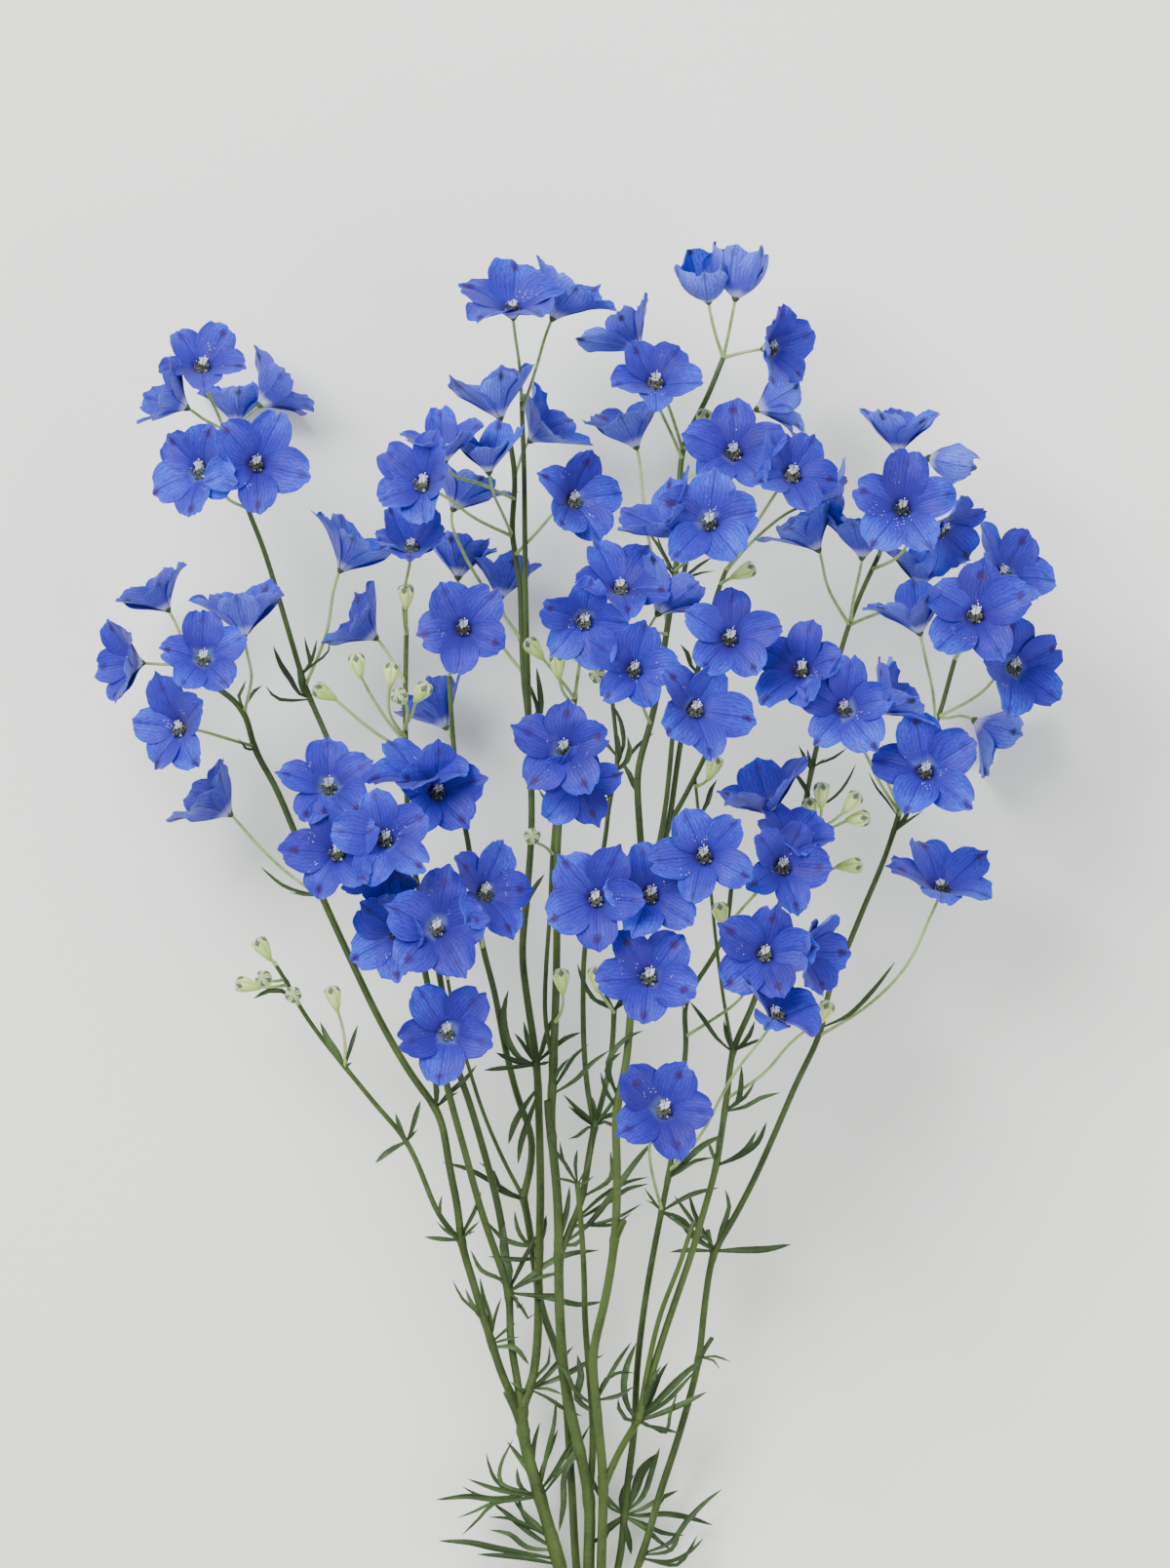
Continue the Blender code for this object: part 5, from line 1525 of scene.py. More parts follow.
def tube_shape(centres: np.ndarray, radii: np.ndarray) -> Shape:
    """A round tube along a path, pinched to a point at both ends.

    Args:
        centres: Points of the path, in rows.
        radii: Radius at each point.

    Returns:
        A shape for a grid of len(centres) + 1 faces along.
    """
    runs = directions(centres)
    side = np.cross(runs[0], (0.0, 0.0, 1.0) if abs(runs[0][2]) < STEEP else (1.0, 0.0, 0.0))
    side /= np.linalg.norm(side)
    sides = [side]
    for run in runs[1:]:
        side = sides[-1] - run * np.dot(sides[-1], run)
        sides.append(side / np.linalg.norm(side))
    sides = np.array(sides)
    ups = np.cross(runs, sides)
    start = centres[:1] - runs[:1] * radii[0] * TUBE_CAP
    end = centres[-1:] + runs[-1:] * radii[-1] * TUBE_CAP
    centres = np.concatenate([start, centres, end])
    radii = np.concatenate([[0.0], radii, [0.0]])
    sides = np.concatenate([sides[:1], sides, sides[-1:]])
    ups = np.concatenate([ups[:1], ups, ups[-1:]])

    def shape(along: np.ndarray, around: np.ndarray) -> np.ndarray:
        """Points of the tube."""
        row = rows_of(along, len(centres) - 1)
        angle = -math.tau * around
        spoke = np.cos(angle)[:, None] * sides[row] + np.sin(angle)[:, None] * ups[row]
        return centres[row] + radii[row][:, None] * spoke

    return shape


@dataclass
class Layout:
    """Where each stem runs, worked out from root to tip."""

    paths: dict[str, list[Vector]] = field(default_factory=dict)

    def __post_init__(self) -> None:
        """Lay every stem, parents first."""
        for stem in STEMS:
            self.paths[stem.name] = self.stem_path(stem)

    def stem_path(self, stem: Stem) -> list[Vector]:
        """The points of a stem, easing from its root's height to its own.

        Args:
            stem: The stem.

        Returns:
            Its points in metres.
        """
        points = stem.route
        if stem.parent is None:
            root = photo_point(*points[0], stem.start)
        else:
            root = self.nearest(stem.parent, points[0])
        path = [root]
        run = 0.0
        for before, pixel in zip(points, points[1:]):
            run += (Vector(pixel) - Vector(before)).length
            height = root.z / MM + (stem.level - root.z / MM) * smooth(run / stem.blend)
            path.append(photo_point(*pixel, height))
        return path

    def nearest(self, name: str, pixel: Pixel) -> Vector:
        """The point of a stem's path that lies nearest to a photo pixel.

        Args:
            name: The stem's name.
            pixel: The photo pixel.

        Returns:
            The point in metres.
        """
        goal = photo_point(*pixel, 0.0)
        best = (math.inf, goal)
        path = self.paths[name]
        for start, end in zip(path, path[1:]):
            flat = (end - start).to_2d()
            share = (goal - start).to_2d().dot(flat) / max(flat.length_squared, TINY)
            point = start.lerp(end, min(max(share, 0.0), 1.0))
            away = (point - goal).to_2d().length
            if away < best[0]:
                best = (away, point)
        return best[1]

    def stalk(self, stem: str, route: Sequence[Pixel], end: Vector, approach: Vector) -> list[Vector]:
        """A stalk's points from a stem to a seat, the last run along the approach.

        Args:
            stem: The stem it leaves.
            route: Photo pixels of its root and of its way.
            end: Its end.
            approach: Its last run.

        Returns:
            Its points in metres.
        """
        first, *rest = route
        start = self.nearest(stem, first)
        before_end = end - approach
        flat = [start.to_2d()] + [photo_point(*pixel, 0.0).to_2d() for pixel in rest] + [before_end.to_2d()]
        lengths = [(b - a).length for a, b in zip(flat, flat[1:])]
        total = max(sum(lengths), TINY)
        points = [start]
        run = 0.0
        for point, length in zip(flat[1:-1], lengths):
            run += length
            height = start.z + (before_end.z - start.z) * smooth(run / total)
            points.append(Vector((point.x, point.y, height)))
        return points + [before_end, end]


@dataclass(frozen=True)
class SepalForm:
    """How one sepal differs from the rest of its bloom."""

    turn: float
    length: float
    flare: float
    twist: float
    phase: float
    wave: float
    tone: float
    ruffle: float
    cup: float
    reflex: float
    notch: float
    notch_side: float
    breadth: float
    point: float


@dataclass(frozen=True)
class Spread:
    """The spans that a sepal's differences are drawn from, with turn and flare in degrees."""

    turn: Span = (-5.0, 5.0)
    length: Span = (0.93, 1.06)
    flare: Span = (-7.0, 7.0)
    twist: Span = (-0.16, 0.16)
    phase: Span = (0.0, math.tau)
    wave: Span = (0.02, 0.045)
    bloom_tone: Span = (-0.08, 0.08)
    tone: Span = (-0.2, 0.2)
    ruffle: Span = (0.6, 1.3)
    cup: Span = (0.02, 0.34)
    reflex: Span = (-0.10, 0.12)
    notched: float = 0.3
    notch: Span = (0.05, 0.11)
    notch_side: Span = (-0.35, 0.35)
    breadth: Span = (0.86, 1.10)
    point: Span = (0.0, 0.09)
    length_again: Span = (0.93, 1.07)


@dataclass(frozen=True)
class Ripple:
    """A wave in a sepal: its height, its beats in radians and its share of the sepal's phase."""

    height: float
    beats: float
    shift: float = 1.0

    def at(self, place: np.ndarray, phase: float | np.ndarray) -> np.ndarray:
        """Its height at a place, for a phase."""
        return self.height * np.sin(self.beats * place + self.shift * phase)


@dataclass(frozen=True)
class SepalCut:
    """The outline and the relief that all sepals share, as shares of their size."""

    width: float = 0.405
    stretch: float = 1.08
    widest: float = 0.6
    claw_width: float = 0.17
    claw_curve: float = 1.35
    # Degrees that an open and a closed sepal rise at their root, and the least bend in radians
    claw_angle: float = 38.0
    closed_angle: float = 58.0
    least_bend: float = 0.02
    closed_cup: float = 0.62
    # Side-on blooms: longer sepals, less flare, less breadth
    side_stretch: float = 0.06
    side_flare: float = 0.88
    side_breadth: float = 0.9
    notch_width: float = 0.17
    point_width: float = 0.2
    lean: float = 0.10
    wave_beats: float = 3.2
    groove_depth: float = 0.07
    groove_width: float = 0.08
    groove_fade: float = 0.7
    edge_turn: float = 1.5
    rim: Ripple = Ripple(0.015, 6.5)
    fine_rim: Ripple = Ripple(0.009, 15.0, 2.0)
    scallop: Ripple = Ripple(0.020, 9.0)
    fine_scallop: Ripple = Ripple(0.007, 20.0, 2.0)
    edge: Ripple = Ripple(0.026, 12.0)
    end: Ripple = Ripple(0.018, 9.0, 1.7)
    # How far every second sepal lies over its neighbours, and how soon it rises to that
    overlap: float = 0.4 * MM
    overlap_rise: float = 3.0


@dataclass
class BloomMaker:
    """Builds blooms: five veined sepals, a dark and white centre and a green seat."""

    bench: Bench
    cut: SepalCut = SepalCut()
    spread: Spread = Spread()
    faces: tuple[int, int] = (17, 14)
    sheet: float = 0.3 * MM
    # Lightness: at the top, its loss downwards from a photo row over some rows, and by state; the last is
    # painted shade that darkens sepals pointing towards +Y and lightens those pointing towards -Y
    top_tone: float = 0.06
    tone_fall: float = 0.20
    fall_from: float = 350.0
    fall_over: float = 800.0
    closed_tone: float = 0.12
    upper_sepal_shade: float = -0.09
    # Stamens: their number, how many stand in the outer ring, rings in millimetres and steps in degrees
    stamens: int = 17
    outer_stamens: int = 10
    rings: Span = (2.6, 1.3)
    steps: Span = (36.0, 52.0)
    flattening: float = 0.82
    # Their turns in radians, their reach as a share of the ring, and heights of tops and feet in millimetres
    stamen_turns: Span = (-0.2, 0.2)
    stamen_reaches: Span = (0.8, 1.12)
    stamen_tops: Span = (0.5, 2.3)
    stamen_depth: float = 2.2
    anther_radius: float = 0.56 * MM
    anther_sizes: Span = (0.8, 1.15)
    anther_stretch: float = 1.15
    pollen_radius: float = 0.16 * MM
    # The tuft: its two lobes, its hairs with their lengths in millimetres, and the beads on some of them
    tuft_radius: float = 0.75 * MM
    tuft_stretch: float = 1.5
    hairs: int = 22
    hair_lengths: Span = (1.3, 2.7)
    bead_radius: float = 0.27 * MM
    filament_radii: tuple[float, ...] = (0.15, 0.15, 0.11)
    hair_radii: tuple[float, ...] = (0.12, 0.10, 0.08)
    seat_heights: tuple[float, ...] = (-4.25, -4.0, -3.5, -2.9, -2.3, -1.9)
    seat_radii: tuple[float, ...] = (0.55, 0.85, 1.2, 1.55, 1.6, 1.2)
    # Balls no larger than this get fewer faces
    small_blob: float = 0.35 * MM
    # Where the tuft points in the photograph, the spans of its turn and of a centre's size, and how a
    # centre shrinks in a bloom that is less open
    tuft_towards: Triple = (0.0, 1.0, 0.15)
    centre_turns: Span = (-0.2, 0.2)
    centre_sizes: Span = (0.92, 1.06)
    least_centre: float = 0.5
    centre_opening: float = 160.0

    def __post_init__(self) -> None:
        """Model the centre and the seat once, to be copied."""
        self.centre = self.model_centre()
        self.seat = self.model_seat()

    def forms(self, bloom: Bloom) -> list[SepalForm]:
        """The five sepals of a bloom, drawn in a fixed order.

        Args:
            bloom: The bloom.

        Returns:
            Their forms.
        """
        draw = random.Random(bloom.name)
        finer = random.Random(bloom.name + "_finer")
        spread = self.spread
        lower = smooth((bloom.throat[1] - self.fall_from) / self.fall_over)
        shade = finer.uniform(*spread.bloom_tone) + self.top_tone - self.tone_fall * lower
        forms = []
        for index in range(SEPALS):
            turn = math.radians(bloom.roll + 360.0 * index / SEPALS + draw.uniform(*spread.turn))
            length = draw.uniform(*spread.length)
            flare = draw.uniform(*spread.flare)
            twist = draw.uniform(*spread.twist)
            phase = draw.uniform(*spread.phase)
            wave = draw.uniform(*spread.wave)
            tone = shade + finer.uniform(*spread.tone)
            ruffle = finer.uniform(*spread.ruffle)
            cup = finer.uniform(*spread.cup)
            reflex = finer.uniform(*spread.reflex)
            notch = finer.uniform(*spread.notch) if finer.random() < spread.notched else 0.0
            notch_side = finer.uniform(*spread.notch_side)
            breadth = finer.uniform(*spread.breadth) * (self.cut.side_breadth if bloom.side_on else 1.0)
            point = finer.uniform(*spread.point)
            length *= finer.uniform(*spread.length_again)
            flare += finer.uniform(*spread.flare)
            # Painted shade: sepals pointing towards +Y are darkened, those pointing towards -Y lightened
            away = facing_rotation(bloom.facing) @ Vector((math.cos(turn), math.sin(turn), 0.0))
            tone += self.closed_tone if bloom.closed else self.upper_sepal_shade * away.y
            forms.append(SepalForm(
                turn, length, flare, twist, phase, wave, tone, ruffle, cup, reflex, notch, notch_side,
                breadth, point))
        return forms

    def sepal_shape(self, bloom: Bloom, form: SepalForm, index: int) -> Shape:
        """The curved surface of one sepal in its bloom's frame.

        Args:
            bloom: The bloom.
            form: The sepal's differences.
            index: Its place in the bloom.

        Returns:
            A shape for a grid.
        """
        cut = self.cut
        size = bloom.sepal * MM * (cut.stretch + cut.side_stretch * bloom.side_on)
        length = size * form.length
        first = math.radians(cut.closed_angle if bloom.closed else min(cut.claw_angle, bloom.flare))
        bend = math.radians(bloom.flare * (cut.side_flare if bloom.side_on else 1.0) + form.flare) - first
        bend = bend if bloom.closed else max(bend, cut.least_bend)
        cup = cut.closed_cup if bloom.closed else form.cup
        over = cut.overlap * (index % 2) if index < SEPALS - 1 else cut.overlap / 2.0
        cosine, sine = math.cos(form.turn), math.sin(form.turn)

        def shape(along: np.ndarray, width: np.ndarray) -> np.ndarray:
            """Points of the sepal."""
            across = width * 2.0 - 1.0
            end = np.clip((along - cut.widest) / (1.0 - cut.widest), 0.0, 1.0)
            base = np.clip(along / cut.widest, 0.0, 1.0)
            rim = cut.rim.at(across, form.phase) + cut.fine_rim.at(across, form.phase)
            dent = form.notch * np.exp(-((across - form.notch_side) / cut.notch_width) ** 2)
            tip = form.point * np.exp(-(across / cut.point_width) ** 2)
            round_end = end * np.sqrt(1.0 - across ** 2 / 2.0)
            round_end += (rim - dent + tip) * end ** 2 / (1.0 - cut.widest)
            reach = np.minimum(along, cut.widest) + (1.0 - cut.widest) * round_end
            opening = np.sin(math.pi / 2.0 * base) ** cut.claw_curve
            narrow = cut.claw_width + (1.0 - cut.claw_width) * opening
            scallop = cut.scallop.at(along, form.phase) + cut.fine_scallop.at(along, form.phase * across)
            half = cut.width * size * form.breadth * narrow * (1.0 + scallop)
            side = across * half * np.sqrt(1.0 - end ** 2 / 2.0)
            angle = first + bend * reach
            out = THROAT_RADIUS + length * (math.cos(first) - np.cos(angle)) / bend
            height = -THROAT_DEPTH + length * (np.sin(angle) - math.sin(first)) / bend
            lift = cup * half * across ** 2 + side * (form.twist + cut.lean) * along
            lift += length * form.wave * along ** 3 * np.sin(cut.wave_beats * across + form.phase)
            if not bloom.closed:
                lift -= length * form.reflex * np.clip((reach - 0.5) / 0.5, 0.0, 1.2) ** 2
            outer = length * form.ruffle * np.abs(across) ** 3 * along
            lift += outer * cut.edge.at(along, form.phase + cut.edge_turn * np.sign(across))
            lift += length * form.ruffle * end * cut.end.at(across, form.phase)
            fading = np.sin(math.pi * np.clip(along, 0.0, 1.0)) ** cut.groove_fade
            lift -= cut.groove_depth * half * np.exp(-(across / cut.groove_width) ** 2) * fading
            lift += over * np.clip(along * cut.overlap_rise, 0.0, 1.0)
            out = out - lift * np.cos(angle)
            height = height + lift * np.sin(angle)
            return np.stack([out * cosine - side * sine, out * sine + side * cosine, height], axis=1)

        return shape

    def model_centre(self) -> Piece:
        """Model the stamens and the white tuft, facing +Z with the tuft towards +Y.

        Returns:
            The centre, kept out of the scene until it is copied.
        """
        draw = random.Random("centre")
        pieces = []
        for index in range(self.stamens):
            pieces += self.stamen(index, draw)
        for lobe in (-1.0, 1.0):
            middle = Vector((lobe * 0.7 * MM, 1.0 * MM, 0.6 * MM))
            pieces.append(
                self.blob("tuft_lobe", middle, self.tuft_radius, Finish.FILAMENT, draw, self.tuft_stretch))
        for index in range(self.hairs):
            pieces += self.tuft_hair(index, draw)
        return self.put_by(pieces, "bloom_centre")

    def stamen(self, index: int, draw: random.Random) -> list[Piece]:
        """A bowed filament with its anther, and on every third one a grain of pollen.

        Args:
            index: Its place among the stamens.
            draw: Where small differences are drawn from.

        Returns:
            Its pieces.
        """
        inner = int(index >= self.outer_stamens)
        angle = math.radians(self.steps[inner] * index) + draw.uniform(*self.stamen_turns)
        out = self.rings[inner] * MM * draw.uniform(*self.stamen_reaches)
        aside = out * self.flattening * math.sin(angle) - 1.0 * MM
        top = Vector((out * math.cos(angle), aside, draw.uniform(*self.stamen_tops) * MM))
        foot = Vector((top.x * 0.3, top.y * 0.3, -self.stamen_depth * MM))
        bow = Vector((top.x * 1.05, top.y * 1.05, top.z * 0.1))
        pieces = [self.thread("filament", (foot, bow, top), self.filament_radii, 4, Finish.FILAMENT)]
        finish = Finish.FILAMENT if index % 7 == 2 else Finish.ANTHER
        radius = self.anther_radius * draw.uniform(*self.anther_sizes)
        pieces.append(self.blob("anther", top, radius, finish, draw, self.anther_stretch))
        if index % 3 == 1:
            speck = top + Vector((draw.uniform(-0.4, 0.4), draw.uniform(-0.3, 0.4), 0.45)) * MM
            pieces.append(self.blob("pollen", speck, self.pollen_radius, Finish.TUFT, draw))
        return pieces

    def tuft_hair(self, index: int, draw: random.Random) -> list[Piece]:
        """A white hair of the tuft, and on every second one a bead at its tip.

        Args:
            index: Its place among the hairs.
            draw: Where small differences are drawn from.

        Returns:
            Its pieces.
        """
        lobe = -1.0 if index % 2 else 1.0
        root = Vector((lobe * draw.uniform(0.1, 0.9), draw.uniform(0.6, 1.8), draw.uniform(0.5, 1.3))) * MM
        lean = Vector((lobe * draw.uniform(-0.5, 0.75), draw.uniform(0.2, 1.3), draw.uniform(0.5, 1.5)))
        tip = root + lean.normalized() * draw.uniform(*self.hair_lengths) * MM
        middle = root.lerp(tip, 0.5) + Vector((0.0, -0.12 * MM, 0.1 * MM))
        pieces = [self.thread("tuft_hair", (root, middle, tip), self.hair_radii, 3, Finish.TUFT)]
        if index % 2 == 0:
            pieces.append(self.blob("tuft_bead", tip, self.bead_radius, Finish.TUFT, draw))
        return pieces

    def thread(
        self, name: str, points: Sequence[Vector], radii: Sequence[float], sides: int, finish: Finish
    ) -> Piece:
        """A thin tube through points, with its radius at each in millimetres and its faces round it."""
        shape = tube_shape(np.array(points), np.array(radii) * MM)
        return self.bench.sheet(name, (len(points) + 1, sides), shape, (finish,))

    def blob(
        self, name: str, middle: Vector, radius: float, finish: Finish, draw: random.Random,
        stretch: float = 1.0
    ) -> Piece:
        """A small ball, turned at random.

        Args:
            name: Its name.
            middle: Its middle.
            radius: Its radius in metres.
            finish: Its finish.
            draw: Where its turn is drawn from.
            stretch: How long it is against its width.

        Returns:
            The ball.
        """
        axis = Vector((draw.uniform(-1, 1), draw.uniform(-1, 1), draw.uniform(0.2, 1))).normalized()
        turn = np.array(facing_rotation(axis).to_matrix())
        fine = 5 if radius > self.small_blob else 3

        def shape(along: np.ndarray, around: np.ndarray) -> np.ndarray:
            """Points of the ball."""
            tilt = math.pi * along
            angle = -math.tau * around
            ring = np.sin(tilt)
            local = np.stack([ring * np.cos(angle), ring * np.sin(angle), -np.cos(tilt) * stretch], axis=1)
            return np.array(middle) + (local * radius) @ turn.T

        return self.bench.sheet(name, (fine, fine + 1), shape, (finish,))

    def model_seat(self) -> Piece:
        """Model the green cup behind a bloom.

        Returns:
            The seat, kept out of the scene until it is copied.
        """
        path = np.array([(0.0, 0.0, height) for height in self.seat_heights]) * MM
        shape = tube_shape(path, np.array(self.seat_radii) * MM)
        cup = self.bench.sheet("seat_cup", (len(path) + 1, 10), shape, (Finish.STEM,))
        return self.put_by([cup], "bloom_seat")

    def put_by(self, pieces: Sequence[Piece], name: str) -> Piece:
        """Join pieces to a template and take it out of the scene.

        Args:
            pieces: The pieces.
            name: Name of the template.

        Returns:
            The template.
        """
        template = joined(pieces, name, weld=True)
        bpy.context.scene.collection.objects.unlink(template)
        return template

    def build(self, bloom: Bloom) -> Piece:
        """Build one bloom at its place.

        Args:
            bloom: The bloom.

        Returns:
            The bloom as one object.
        """
        finer = random.Random(bloom.name + "_centre")
        sepals = []
        for index, form in enumerate(self.forms(bloom)):
            shape = self.sepal_shape(bloom, form, index)
            finishes = (Finish.PETAL_FACE, Finish.PETAL_BACK)
            sepals.append(self.bench.sheet("sepal", self.faces, shape, finishes, form.tone))
        petals = joined(sepals, "sepals")
        thickened(petals, self.sheet, 1)
        turned = facing_rotation(bloom.facing).to_matrix().to_4x4()
        place = Matrix.Translation(photo_point(*bloom.throat)) @ turned
        petals.data.transform(place)
        inward = place.to_3x3().inverted() @ Vector(self.tuft_towards)
        upright = math.atan2(inward.y, inward.x) - math.pi / 2.0 + finer.uniform(*self.centre_turns)
        shrink = min(1.0, self.least_centre + bloom.flare / self.centre_opening)
        shrink *= finer.uniform(*self.centre_sizes)
        turn = Matrix.Rotation(upright, 4, "Z") @ Matrix.Diagonal((shrink, shrink, shrink, 1.0))
        centre = self.bench.copy(self.centre, "centre", place @ turn)
        seat = self.bench.copy(self.seat, "seat", place)
        return joined([petals, centre, seat], bloom.name)


@dataclass
class GreenMaker:
    """Builds leafy stems: trunks, branches, stalks, buds, leaves and the cut foot."""

    bench: Bench
    layout: Layout
    step: float = 2.6 * MM
    stem_ease: int = 8
    # Swelling at a stem's own root and how far it runs, where branches and leaves leave, and its reach
    root_swelling: float = 0.22
    root_reach: float = 3.0 * MM
    branch_swelling: float = 0.24
    leaf_swelling: float = 0.13
    joint_reach: float = 1.9 * MM
    # Thicker stems than this, in millimetres, get the larger number of faces round them
    thick: float = 1.7
    sides: tuple[int, int] = (10, 12)
    pale_tone: float = 0.22
    tones: Span = (-0.1, 0.08)
    stalk_radius: float = 0.65 * MM
    stalk_ease: int = 14
    stalk_sides: int = 8
    stalk_swelling: float = 0.35
    stalk_reach: float = 2.0 * MM
    stalk_taper: float = 0.12
    stalk_run: float = 5.0 * MM
    bud_run: float = 4.0 * MM
    bud_length: float = 10.6 * MM
    bud_radius: float = 3.3 * MM
    bud_seat: float = 0.28
    bud_spins: Span = (0.0, 6.3)
    bud_tones: Span = (-0.15, 0.15)
    # How deep the creases between a bud's lobes are and how far the lobes sink in them
    crease: float = 0.17
    crease_sink: float = 0.55
    leaf_sheet: float = 0.35 * MM
    leaf_step: float = 3.2 * MM
    leaf_keel: float = 0.17
    leaf_arch: float = 2.0
    leaf_rises: Span = (-2.0, 5.0)
    leaf_tilts: Span = (-0.5, 0.5)
    leaf_tones: Span = (-0.3, 0.2)
    # The lobes on this stem that root below this photo row lie lower, by so many millimetres
    low_stem: str = "inner_right"
    low_row: float = 1500.0
    low_drop: float = -5.0
    # The foot: photo pixels and heights of its top and its cut, and its radii
    crown_top: Pixel = (603.0, 1700.0)
    crown_end: Pixel = (603.0, 1790.0)
    crown_height: float = 9.0
    cut_height: float = 4.2
    crown_radius: float = 8.3 * MM
    cut_radius: float = 4.6 * MM
    foot_run: float = 3.0 * MM
    foot_bite: float = 0.3 * MM
    foot_rings: int = 27
    foot_ribs: int = 9
    rib_height: float = 0.035
    ring_height: float = 0.025
    ring_beats: float = 40.0

    def stem(self, stem: Stem) -> Piece:
        """A stem, swollen where it leaves its parent and where branches and leaves leave it.

        Args:
            stem: The stem.

        Returns:
            Its tube.
        """
        path = self.layout.paths[stem.name]
        if stem.parent is None:
            drop = self.foot_bite - (self.crown_top[1] - stem.route[0][1]) * PHOTO_PIXEL
            drop = -self.foot_run if stem.name == "left" else drop
            foot = path[0] + Vector((0.0, drop, 0.0))
            path = [foot, foot + Vector((0.0, self.foot_run, 0.0))] + path[1:]
        centres = rounded_path(path, self.step, self.stem_ease)
        radii = np.linspace(stem.root_radius, stem.tip_radius, len(centres)) * MM
        if stem.parent is not None:
            runs = np.arange(len(centres)) * self.step
            radii *= 1.0 + self.root_swelling * np.exp(-runs / self.root_reach)
        children = [child.name for child in STEMS if child.parent == stem.name]
        joints = {tuple(self.layout.paths[name][0]): self.branch_swelling for name in children}
        for lobe in LOBES:
            if lobe.stem == stem.name:
                joints.setdefault(tuple(self.layout.nearest(stem.name, lobe.route[0])), self.leaf_swelling)
        swell = np.zeros(len(centres))
        for joint, amount in joints.items():
            near = np.linalg.norm(centres - np.array(joint), axis=1)
            swell = np.maximum(swell, amount * np.exp(-(near / self.joint_reach) ** 2))
        radii *= 1.0 + swell
        faces = (len(centres) + 1, self.sides[stem.root_radius > self.thick])
        tone = self.pale_tone if stem.node == "pale" else random.Random(stem.name).uniform(*self.tones)
        return self.bench.sheet(stem.name, faces, tube_shape(centres, radii), (Finish.STEM,), tone)

    def stalk(self, name: str, path: Sequence[Vector], tone: float) -> Piece:
        """A thin stalk.

        Args:
            name: Its name.
            path: Its points.
            tone: Its lightness.

        Returns:
            Its tube.
        """
        centres = rounded_path(path, self.step, self.stalk_ease)
        shares = np.linspace(0.0, 1.0, len(centres))
        runs = np.arange(len(centres)) * self.step
        flare = self.stalk_swelling * np.exp(-runs / self.stalk_reach)
        radii = self.stalk_radius * (1.0 + flare - self.stalk_taper * shares)
        faces = (len(centres) + 1, self.stalk_sides)
        return self.bench.sheet(name, faces, tube_shape(centres, radii), (Finish.STALK,), tone)

    def bloom_stalk(self, bloom: Bloom) -> Piece:
        """The stalk that ends in a bloom's seat.

        Args:
            bloom: The bloom.

        Returns:
            Its tube.
        """
        facing = Vector(bloom.facing).normalized()
        end = photo_point(*bloom.throat) - facing * (THROAT_DEPTH + SEAT_DEPTH)
        path = self.layout.stalk(bloom.stem, bloom.route, end, facing * self.stalk_run)
        return self.stalk("stalk", path, 0.1)

    def bud(self, bud: Bud, draw: random.Random) -> list[Piece]:
        """A bud with five folded lobes, on its stalk.

        Args:
            bud: The bud.
            draw: Where small differences are drawn from.

        Returns:
            The stalk and the bud.
        """
        facing = Vector(bud.facing).normalized()
        middle = photo_point(*bud.centre)
        seat = middle - facing * self.bud_length * self.bud_seat
        path = self.layout.stalk(bud.stem, bud.route, seat, facing * self.bud_run)
        turn = np.array(facing_rotation(bud.facing).to_matrix())
        spin = draw.uniform(*self.bud_spins)
        tone = draw.uniform(*self.bud_tones)

        def shape(along: np.ndarray, around: np.ndarray) -> np.ndarray:
            """Points of the bud."""
            angle = -math.tau * around
            fold = (1.0 - np.abs(np.cos(SEPALS / 2.0 * angle))) ** 2.0
            lobes = 1.0 - self.crease * fold * np.clip((along - 0.25) * 1.8, 0.0, 1.0)
            radius = self.bud_radius * np.interp(along, *BUD_PROFILE) * lobes
            sink = self.crease_sink * (lobes - 1.0) * np.clip((along - 0.6) * 3.0, 0.0, 1.0)
            height = (along - 0.5 + sink) * self.bud_length
            local = np.stack([radius * np.cos(angle + spin), radius * np.sin(angle + spin), height], axis=1)
            return np.array(middle) + local @ turn.T

        stalk = self.stalk("bud_stalk", path, 0.2)
        return [stalk, self.bench.sheet("bud", (16, 30), shape, (Finish.BUD,), tone)]

    def traced_lobe(self, lobe: Lobe, draw: random.Random) -> Piece:
        """A long lobe that curves through its points and folds along its middle.

        Args:
            lobe: The lobe.
            draw: Where its rise, tilt and tone are drawn from.

        Returns:
            The lobe's sheet.
        """
        first, *rest = lobe.route
        root = self.layout.nearest(lobe.stem, first)
        low = lobe.stem == self.low_stem and first[1] > self.low_row
        rise = draw.uniform(*self.leaf_rises) + (self.low_drop if low else 0.0)
        knots = [root]
        for index, pixel in enumerate(rest, 1):
            share = index / len(rest)
            height = root.z / MM + rise * share + self.leaf_arch * math.sin(math.pi * share)
            knots.append(photo_point(*pixel, max(height, 1.0)))
        middle = rounded_path(knots, self.leaf_step)
        runs = directions(middle)
        flat = np.cross(runs, (0.0, 0.0, 1.0))
        flat /= np.linalg.norm(flat, axis=1)[:, None]
        tilt = draw.uniform(*self.leaf_tilts)
        flat = flat * math.cos(tilt) + np.cross(flat, runs) * math.sin(tilt)
        rises = np.cross(flat, runs)
        last = len(middle) - 1
        width = lobe.width * MM

        def shape(along: np.ndarray, across: np.ndarray) -> np.ndarray:
            """Points of the lobe."""
            row = rows_of(along, last)
            wide = width * np.interp(along, *LOBE_PROFILE)
            side = across * 2.0 - 1.0
            offset = side / 2.0 * wide
            keel = np.abs(side) * self.leaf_keel * wide
            return middle[row] - offset[:, None] * flat[row] + keel[:, None] * rises[row]

        tone = draw.uniform(*self.leaf_tones)
        return self.bench.sheet("traced_lobe", (last, 4), shape, (Finish.LEAF,), tone)

